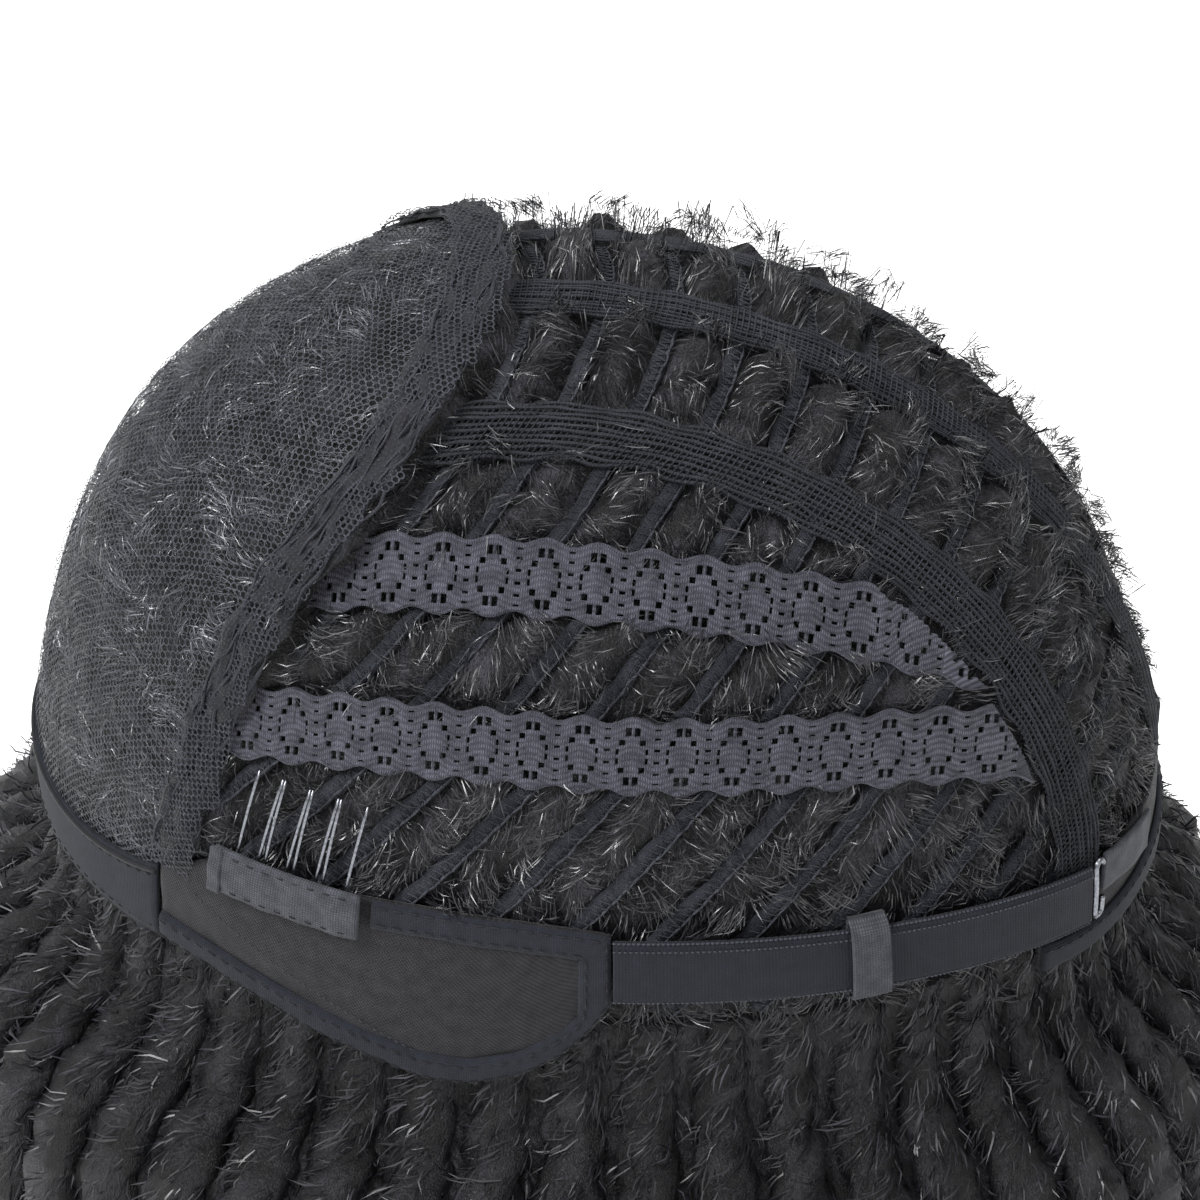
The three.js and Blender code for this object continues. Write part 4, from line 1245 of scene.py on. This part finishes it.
def make_comb(side_name, side):
    along = np.linspace(0, 1, 33)
    ups = np.linspace(0, 1, 9)
    places = np.stack([pocket_place(along, up * POCKET_HEIGHT, side) for up in ups], 1)
    puff = 0.35 * np.sin(np.pi * ups)[None] + 0.2 * ripple(places, 7, 140)
    pocket = shell(places, TOP_CLOTH - 0.4, TOP_CLOTH + 0.7 + puff)
    fold_along = np.linspace(-0.015, 0.075, 6)
    fold = np.stack([pocket_place(fold_along, up * POCKET_HEIGHT, side) for up in ups], 1)
    fold_form = shell(fold, TOP_CLOTH + 0.5, TOP_CLOTH + 1.35 + 0.2 * ripple(fold, 5, 141))
    piece("comb_tape_" + side_name, joined([pocket, fold_form]), LOOP,
          ["comb_pocket_" + side_name])
    rows = [
        stitches(pocket_place(np.linspace(0.04, 0.98, 40), 0.9, side), TOP_CLOTH + 0.85, 1.3, 1.5, 0.14),
        stitches(pocket_place(np.linspace(0.04, 0.98, 40), POCKET_HEIGHT - 0.9, side), TOP_CLOTH + 0.85,
                 1.3, 1.5, 0.14),
    ]
    piece("comb_tape_stitches_" + side_name, joined(rows), DARK_STITCH)
    margin = 0.1
    spread = 1 - 2 * margin
    half_pair = 1.7 / 2 / (POCKET_LENGTH * spread) * TOOTH_PAIRS
    positions = [k + shift for k in range(TOOTH_PAIRS + 1) for shift in (-half_pair, half_pair)]
    positions = [position for position in positions if 0 < position < TOOTH_PAIRS]
    wires = []
    spine_along = np.linspace(margin, 1 - margin, 12)
    spine = pocket_place(spine_along, POCKET_HEIGHT / 2, side)
    wires.append(tubes(lifted(spine, OUTER_CLOTH + WIRE / 2)[None], WIRE / 2, 8))
    for position in positions:
        root = margin + position / TOOTH_PAIRS * spread
        pair = round(position)
        lean = (TOOTH_LEAN - 0.55 * np.sign(position - pair)) / POCKET_LENGTH
        share = np.linspace(0, 1, 9)
        height = POCKET_HEIGHT / 2 + share * (POCKET_HEIGHT / 2 + TOOTH_LENGTH)
        path = pocket_place(root + share * lean, height, side)
        lift = OUTER_CLOTH + WIRE / 2 + 0.3 * share ** 2
        taper = WIRE / 2 * np.where(share > 0.95, 0.6, 0.85)
        wires.append(tubes(lifted(path, lift)[None], taper[None], 8))
    piece("wire_comb_" + side_name, joined(wires), STEEL, ["comb_" + side_name])


# Adjusting straps
def strap_place(angle, up, side):
    return rim_point(side * angle, strap_height(angle) + up)


def make_strap(side_name, side):
    start = EAR_REAR + mm_to_degrees(SEAM)
    count = 180
    angle = np.linspace(start, STRAP_END, count)
    ups = np.linspace(-0.5, 0.5, 15)
    picot = 0.16 * np.abs(np.sin(np.arange(count) * np.pi / 2))
    half = STRAP_WIDTH / 2 + picot
    places = np.stack([strap_place(angle, 2 * up * half, side) for up in ups], 1)
    ribs = 0.05 * (np.arange(count) % 2)[:, None]
    ridge = 0.28 * np.exp(-((ups - 0.38) / 0.035) ** 2) + 0.18 * np.exp(-((ups + 0.42) / 0.04) ** 2)
    high = OUTER_CLOTH + CLOTH * 0.8 + ribs + ridge[None] + 0.12 * ripple(places, 18, 150)
    piece("elastic_" + side_name, shell(places, OUTER_CLOTH, high), STRAP,
          ["strap_" + side_name])
    line = np.linspace(start, STRAP_END, 260)
    rows = [
        stitches(strap_place(line, STRAP_WIDTH * 0.38, side), OUTER_CLOTH + 1.1, 0.55, 0.42, 0.15),
        stitches(strap_place(line, STRAP_WIDTH * 0.5, side), OUTER_CLOTH + 0.7, 0.5, 0.35, 0.22),
        stitches(strap_place(line, -STRAP_WIDTH * 0.5, side), OUTER_CLOTH + 0.7, 0.5, 0.35, 0.22),
    ]
    piece("strap_edges_" + side_name, joined(rows), STITCH)


def make_keeper(side_name, side):
    height = STRAP_WIDTH + 3.0
    half_turn = mm_to_degrees(KEEPER_WIDTH / 2)
    angle = np.linspace(KEEPER_ANGLE - half_turn, KEEPER_ANGLE + half_turn, 22)
    front_up = np.linspace(-height / 2 - 0.9, height / 2 + 0.9, 31)
    front = np.stack([rim_point(side * angle, strap_height(KEEPER_ANGLE) + up_at) for up_at in front_up], 1)
    edge = np.clip(1 - (np.abs(front_up) / (height / 2 + 0.9)) ** 10, 0, 1)
    rib = 0.14 * (np.arange(22) % 2)[:, None]
    lift = 1.2 + (TOP_CLOTH - 1.2) * edge
    front_form = shell(front, lift[None] - 0.1 + 0 * rib, lift[None] + 0.9 + rib)
    back = front[:, 2:-2]
    back_form = shell(back, INNER_CLOTH, INNER_CLOTH + 0.9)
    piece("knit_loop_" + side_name, joined([front_form, back_form]), LOOP,
          ["strap_keeper_" + side_name])


def make_hook(side_name, side):
    height = strap_height(STRAP_END)
    start = SEAM + 0.1
    half = HOOK_HEIGHT / 2

    def at(run, up):
        return rim_point(side * (STRAP_END + mm_to_degrees(np.asarray(run))), height + np.asarray(up))

    lift = OUTER_CLOTH + 0.7
    head = at([start + 0.6] * 3 + [start + 1.6, start + 2.9, start + 3.3],
              [-half + 1.0, 0, half - 0.6, half + 0.5, half + 0.3, half - 0.7])
    foot = at([start + 0.6, start + 0.9, start + 2.0, start + 3.1, start + 3.2],
              [-half + 1.2, -half + 0.6, -half + 0.5, -half + 1.1, -half / 3])
    wires = []
    for path in (head, foot):
        fine = resampled(path, 26)
        wires.append(tubes(lifted(fine, lift)[None], 0.62, 8))
    piece("wire_hook_" + side_name, joined(wires), STEEL, ["strap_hook_" + side_name])


def make_tape(side_name, side):
    start = STRAP_END + mm_to_degrees(2 * SEAM + HOOK_HEAD)
    angle = np.linspace(start, TAPE_END, 40)
    heights = np.linspace(*TAPE_HEIGHTS, 40)
    path = rim_point(side * angle, heights)
    shares = np.linspace(-0.5, 0.5, 9)
    places = np.stack([offset_path(path, np.full(40, share * TAPE_WIDTH)) for share in shares], 1)
    high = OUTER_CLOTH + 0.85 + 0.15 * ripple(places, 6, 160)
    piece("catch_tape_" + side_name, shell(places, OUTER_CLOTH, high), LOOP,
          ["adjuster_tape_" + side_name])


def make_nape():
    count = 90
    across = np.linspace(-1, 1, count)
    angle = 180 + across * NAPE_ANGLE
    mirrored = 180 - np.abs(angle - 180)
    low, high = nape_edge(mirrored, -1), nape_edge(mirrored, 1)
    ups = np.linspace(0, 1, 13)
    places = np.stack([rim_point(angle, low + (high - low) * up) for up in ups], 1)
    panel = shell(places, INNER_CLOTH, INNER_CLOTH + CLOTH + 0.15 * ripple(places, 14, 170))
    panel_piece = piece("nape_cloth", panel, TWILL, ["nape_panel"])
    width = np.minimum(NAPE_BINDING, (high - low) * 0.95)
    shares = np.linspace(0, 1, 8)
    tape = np.stack([rim_point(angle, low + width * share) for share in shares], 1)
    roll = np.sqrt(np.clip(1 - (2 * shares - 1) ** 6, 0, 1))
    tape_form = shell(tape, OUTER_CLOTH - 0.4, OUTER_CLOTH + 0.2 + 0.7 * roll[None] + 0 * tape[..., 0])
    bound = piece("nape_tape", tape_form, BINDING, ["nape_binding"])
    row = stitches(tape[:, 6], OUTER_CLOTH + 0.75, 1.7, 1.2, 0.15)
    sewn = piece("nape_stitches", row, DARK_STITCH)


# Braids
def braid_profile():
    """Distance outward from the rim and height, for each millimetre along a braid."""
    out, height = [-0.6 - MAT_DEPTH / 2 - 0.4], [-MAT_DEPTH / 4]
    for along in range(1, BRAID_LENGTH + 1):
        bump = np.exp(-((along - BRAID_FLARE_AT) / BRAID_FLARE_REACH) ** 2)
        lean = np.radians(BRAID_FLARE * bump + BRAID_END_LEAN * min(1, along / BRAID_FLARE_AT))
        out.append(out[-1] + np.sin(lean))
        height.append(height[-1] - np.cos(lean))
    return np.array(out), np.array(height)


OUT, HEIGHT = braid_profile()
LEAN = np.arctan2(np.gradient(OUT), -np.gradient(HEIGHT))


def braid_frame(angle, along):
    """Centre, sideways, outward and downward directions of a braid, and its half width."""
    run = np.arange(BRAID_LENGTH + 1)
    out = np.interp(along, run, OUT)
    height = np.interp(along, run, HEIGHT)
    lean = np.interp(along, run, LEAN)

    def centre(at):
        rim = rim_point(at, 0.0)
        normal = unit(np.stack([rim[..., 0] / CAP[0] ** 2, rim[..., 1] / CAP[1] ** 2, 0 * rim[..., 0]], -1))
        place = rim + normal * out[..., None]
        place[..., 2] = height
        return place, normal

    angle = np.broadcast_to(angle, out.shape)
    middle, normal = centre(angle)
    pitch = 360 / BRAIDS
    before, after = centre(angle - pitch)[0], centre(angle + pitch)[0]
    spacing = np.minimum(np.linalg.norm(middle - before, axis=-1), np.linalg.norm(after - middle, axis=-1))
    sideways = unit(after - before)
    up = np.array([0, 0, 1.0])
    outward_way = normal * np.cos(lean)[..., None] + up * np.sin(lean)[..., None]
    downward = normal * np.sin(lean)[..., None] - up * np.cos(lean)[..., None]
    return middle, sideways, outward_way, downward, (spacing - 0.4) / 2


def braid_taper(along):
    return np.interp(along, [0, 0.6 * BRAID_LENGTH, BRAID_LENGTH], [1, 1, BRAID_TIP])


def braid_swell(turn, along, phase):
    """The two-lobed section of a twist, as a share of its outline."""
    lobe = np.abs(np.cos(turn - phase - along * np.pi * 2 / TWIST_PITCH))
    return 0.68 + 0.30 * lobe


def braid_core(angle, phase, steps=56, sides=10, inward=0.0):
    stations = np.linspace(0, BRAID_LENGTH, steps)
    middle, sideways, out, _, half = braid_frame(angle, stations)
    middle = middle - out * (inward * np.minimum(1, stations / 40))[:, None]
    turn = np.arange(sides) / sides * 2 * np.pi
    swell = braid_swell(turn[None], stations[:, None], phase) * braid_taper(stations)[:, None]
    flat = sideways[:, None] * (np.cos(turn)[None] * half[:, None] * swell)[..., None]
    deep = out[:, None] * (np.sin(turn)[None] * BRAID_DEPTH / 2 * swell)[..., None]
    lumps = 1 + 0.09 * ripple(middle[:, None] + flat + deep, 6, 220)[..., None]
    points = (middle[:, None] + (flat + deep) * lumps).reshape(-1, 3)
    at = np.arange(len(points)).reshape(len(stations), sides)
    near, far = at[:-1], at[1:]
    walls = np.stack([near, np.roll(near, -1, 1), np.roll(far, -1, 1), far], -1).reshape(-1, 4)
    ends = np.stack([at[0, ::-1], at[-1]])
    return points, outward(points, [walls, ends]), points * COMBED


def braid_hair(angle, phase, tufts, per_tuft, draw):
    """Tufts that follow the two ridges of a twist and stand off it."""
    along = np.linspace(0, 1, tufts) ** 1.4 * BRAID_LENGTH + draw.normal(0, 0.8, tufts)
    along = np.clip(along, 0, BRAID_LENGTH)
    around_share = np.arange(tufts) * GOLDEN % 1
    turn = np.pi / 2 + (around_share - 0.5) * 4.4 + draw.normal(0, 0.15, tufts)
    middle, sideways, out, down, half = braid_frame(angle, along)
    facing = unit(sideways * np.cos(turn)[:, None] + out * np.sin(turn)[:, None])
    around = unit(np.cross(down, facing))
    swell = braid_swell(turn, along, phase) * braid_taper(along)
    root = middle + sideways * (np.cos(turn) * half * swell)[:, None]
    root += out * (np.sin(turn) * BRAID_DEPTH / 2 * swell)[:, None]
    lean = draw.normal(0.75, 0.3, tufts)
    heading = unit(down * np.cos(lean)[:, None] + around * np.sin(lean)[:, None])
    pick = np.repeat(np.arange(tufts), per_tuft)
    count = len(pick)
    fan = draw.normal(0, 1, count)
    normals, ways = facing[pick], heading[pick]
    side = np.cross(normals, ways)
    roots = root[pick] + side * (fan * 1.2)[:, None] + ways * draw.normal(0, 1.5, count)[:, None]
    roots -= normals * draw.uniform(0.2, 0.9, count)[:, None]
    ways = unit(turned(normals, ways, fan * 0.14 + draw.normal(0, 0.15, count)))
    length = np.repeat(draw.uniform(4.0, 7.0, tufts), per_tuft) * draw.uniform(0.7, 1.15, count)
    rise = np.repeat(draw.uniform(0.2, 0.7, tufts), per_tuft) + draw.normal(0, 0.15, count)
    fall = np.repeat(draw.uniform(-0.6, 0.05, tufts), per_tuft) + draw.normal(0, 0.2, count)
    bend = np.repeat(draw.normal(0, 0.5, tufts), per_tuft) + draw.normal(0, 0.25, count)
    strays = draw.uniform(size=count) < 0.03
    length = np.where(strays, length * 1.5, length)
    paths = strand_paths(roots, normals, ways, rise, fall, length, bend, 3)
    high = paths[..., 2] > -BRAID_DROP_CLEAR
    limit = np.where(covered(paths, 1.0), -0.4, np.where(paths[..., 2] > -1, 1.5, 8.0))
    paths = np.where(high[..., None], under_ceiling(paths, limit), paths)
    across = strand_across(paths, normals, draw)
    tone = tuft_tone(root, draw, 210)[pick]
    return ribbons(paths, draw.uniform(0.20, 0.42, count), across, tone)


def make_braids():
    draw = np.random.default_rng(200)
    each = BRAIDS // GROUPS
    pitch = 360 / BRAIDS
    strands = []
    for group in range(GROUPS):
        cores = []
        for k in range(each):
            angle = (group * each + k + 0.5) * pitch
            phase = draw.uniform(0, 2 * np.pi)
            cores.append(braid_core(angle, phase))
            cores.append(braid_core(angle + pitch / 2, phase + 1, 30, 7, INNER_BRAIDS))
            strands.append(braid_hair(angle, phase, 196, 8, draw))
        name = "braids_%02d" % (group + 1)
        piece("twists_%02d" % (group + 1), joined(cores), TWIST_CORE, [name])
    for quarter in range(4):
        part = strands[quarter * 12:(quarter + 1) * 12]
        piece("braid_hair_%d" % (quarter + 1), joined(part), BRAID_STRAND)


# Floor and light
FLOOR_CLEAR = 14.0  # the hair ends reach a little below the CAD part


def make_studio():
    floor_mesh = bpy.data.meshes.new("floor")
    half = 6.0
    level = cad_box[0][2] - FLOOR_CLEAR * METRES
    floor_mesh.from_pydata([(-half, -half, level), (half, -half, level), (half, half, level),
                            (-half, half, level)], [], [(0, 1, 2, 3)])
    paper = bpy.data.materials.new("white paper")
    paper.use_nodes = True
    shader = paper.node_tree.nodes["Principled BSDF"]
    shader.inputs["Base Color"].default_value = (0.93, 0.93, 0.93, 1)
    shader.inputs["Roughness"].default_value = 0.9
    shader.inputs["Specular IOR Level"].default_value = 0.1
    floor_mesh.materials.append(paper)
    floor = bpy.data.objects.new("floor", floor_mesh)
    bpy.context.scene.collection.objects.link(floor)
    world = bpy.data.worlds.new("studio")
    world.use_nodes = True
    world.node_tree.nodes["Background"].inputs["Color"].default_value = (1.0, 1.0, 1.0, 1)
    world.node_tree.nodes["Background"].inputs["Strength"].default_value = 0.6
    bpy.context.scene.world = world
    lights = [("key", (0.9, -1.1, 1.7), 0.8, 75), ("fill", (1.6, 1.0, 0.9), 1.2, 14),
              ("top", (-0.6, 0.2, 2.2), 1.6, 45)]
    for name, place, size, power in lights:
        data = bpy.data.lights.new(name, "AREA")
        data.shape = "DISK"
        data.size = size
        data.energy = power
        light = bpy.data.objects.new(name, data)
        light.location = place
        light.rotation_euler = (RIM_CENTRE - light.location).to_track_quat("-Z", "Y").to_euler()
        bpy.context.scene.collection.objects.link(light)
    bpy.context.scene.view_settings.view_transform = "Standard"


make_studio()
make_cap_hair()
make_net()
make_front_band()
make_wefts()
make_ribbed_band("crown_band_middle", 0)
for side_name, side in SIDES.items():
    make_ribbed_band("crown_band_" + side_name, side)
    make_lace("lace_band_upper_" + side_name, "upper", side)
    make_lace("lace_band_lower_" + side_name, "lower", side)
    make_ear_tab(side_name, side)
    make_comb(side_name, side)
    make_strap(side_name, side)
    make_keeper(side_name, side)
    make_hook(side_name, side)
    make_tape(side_name, side)
make_nape()
make_braids()
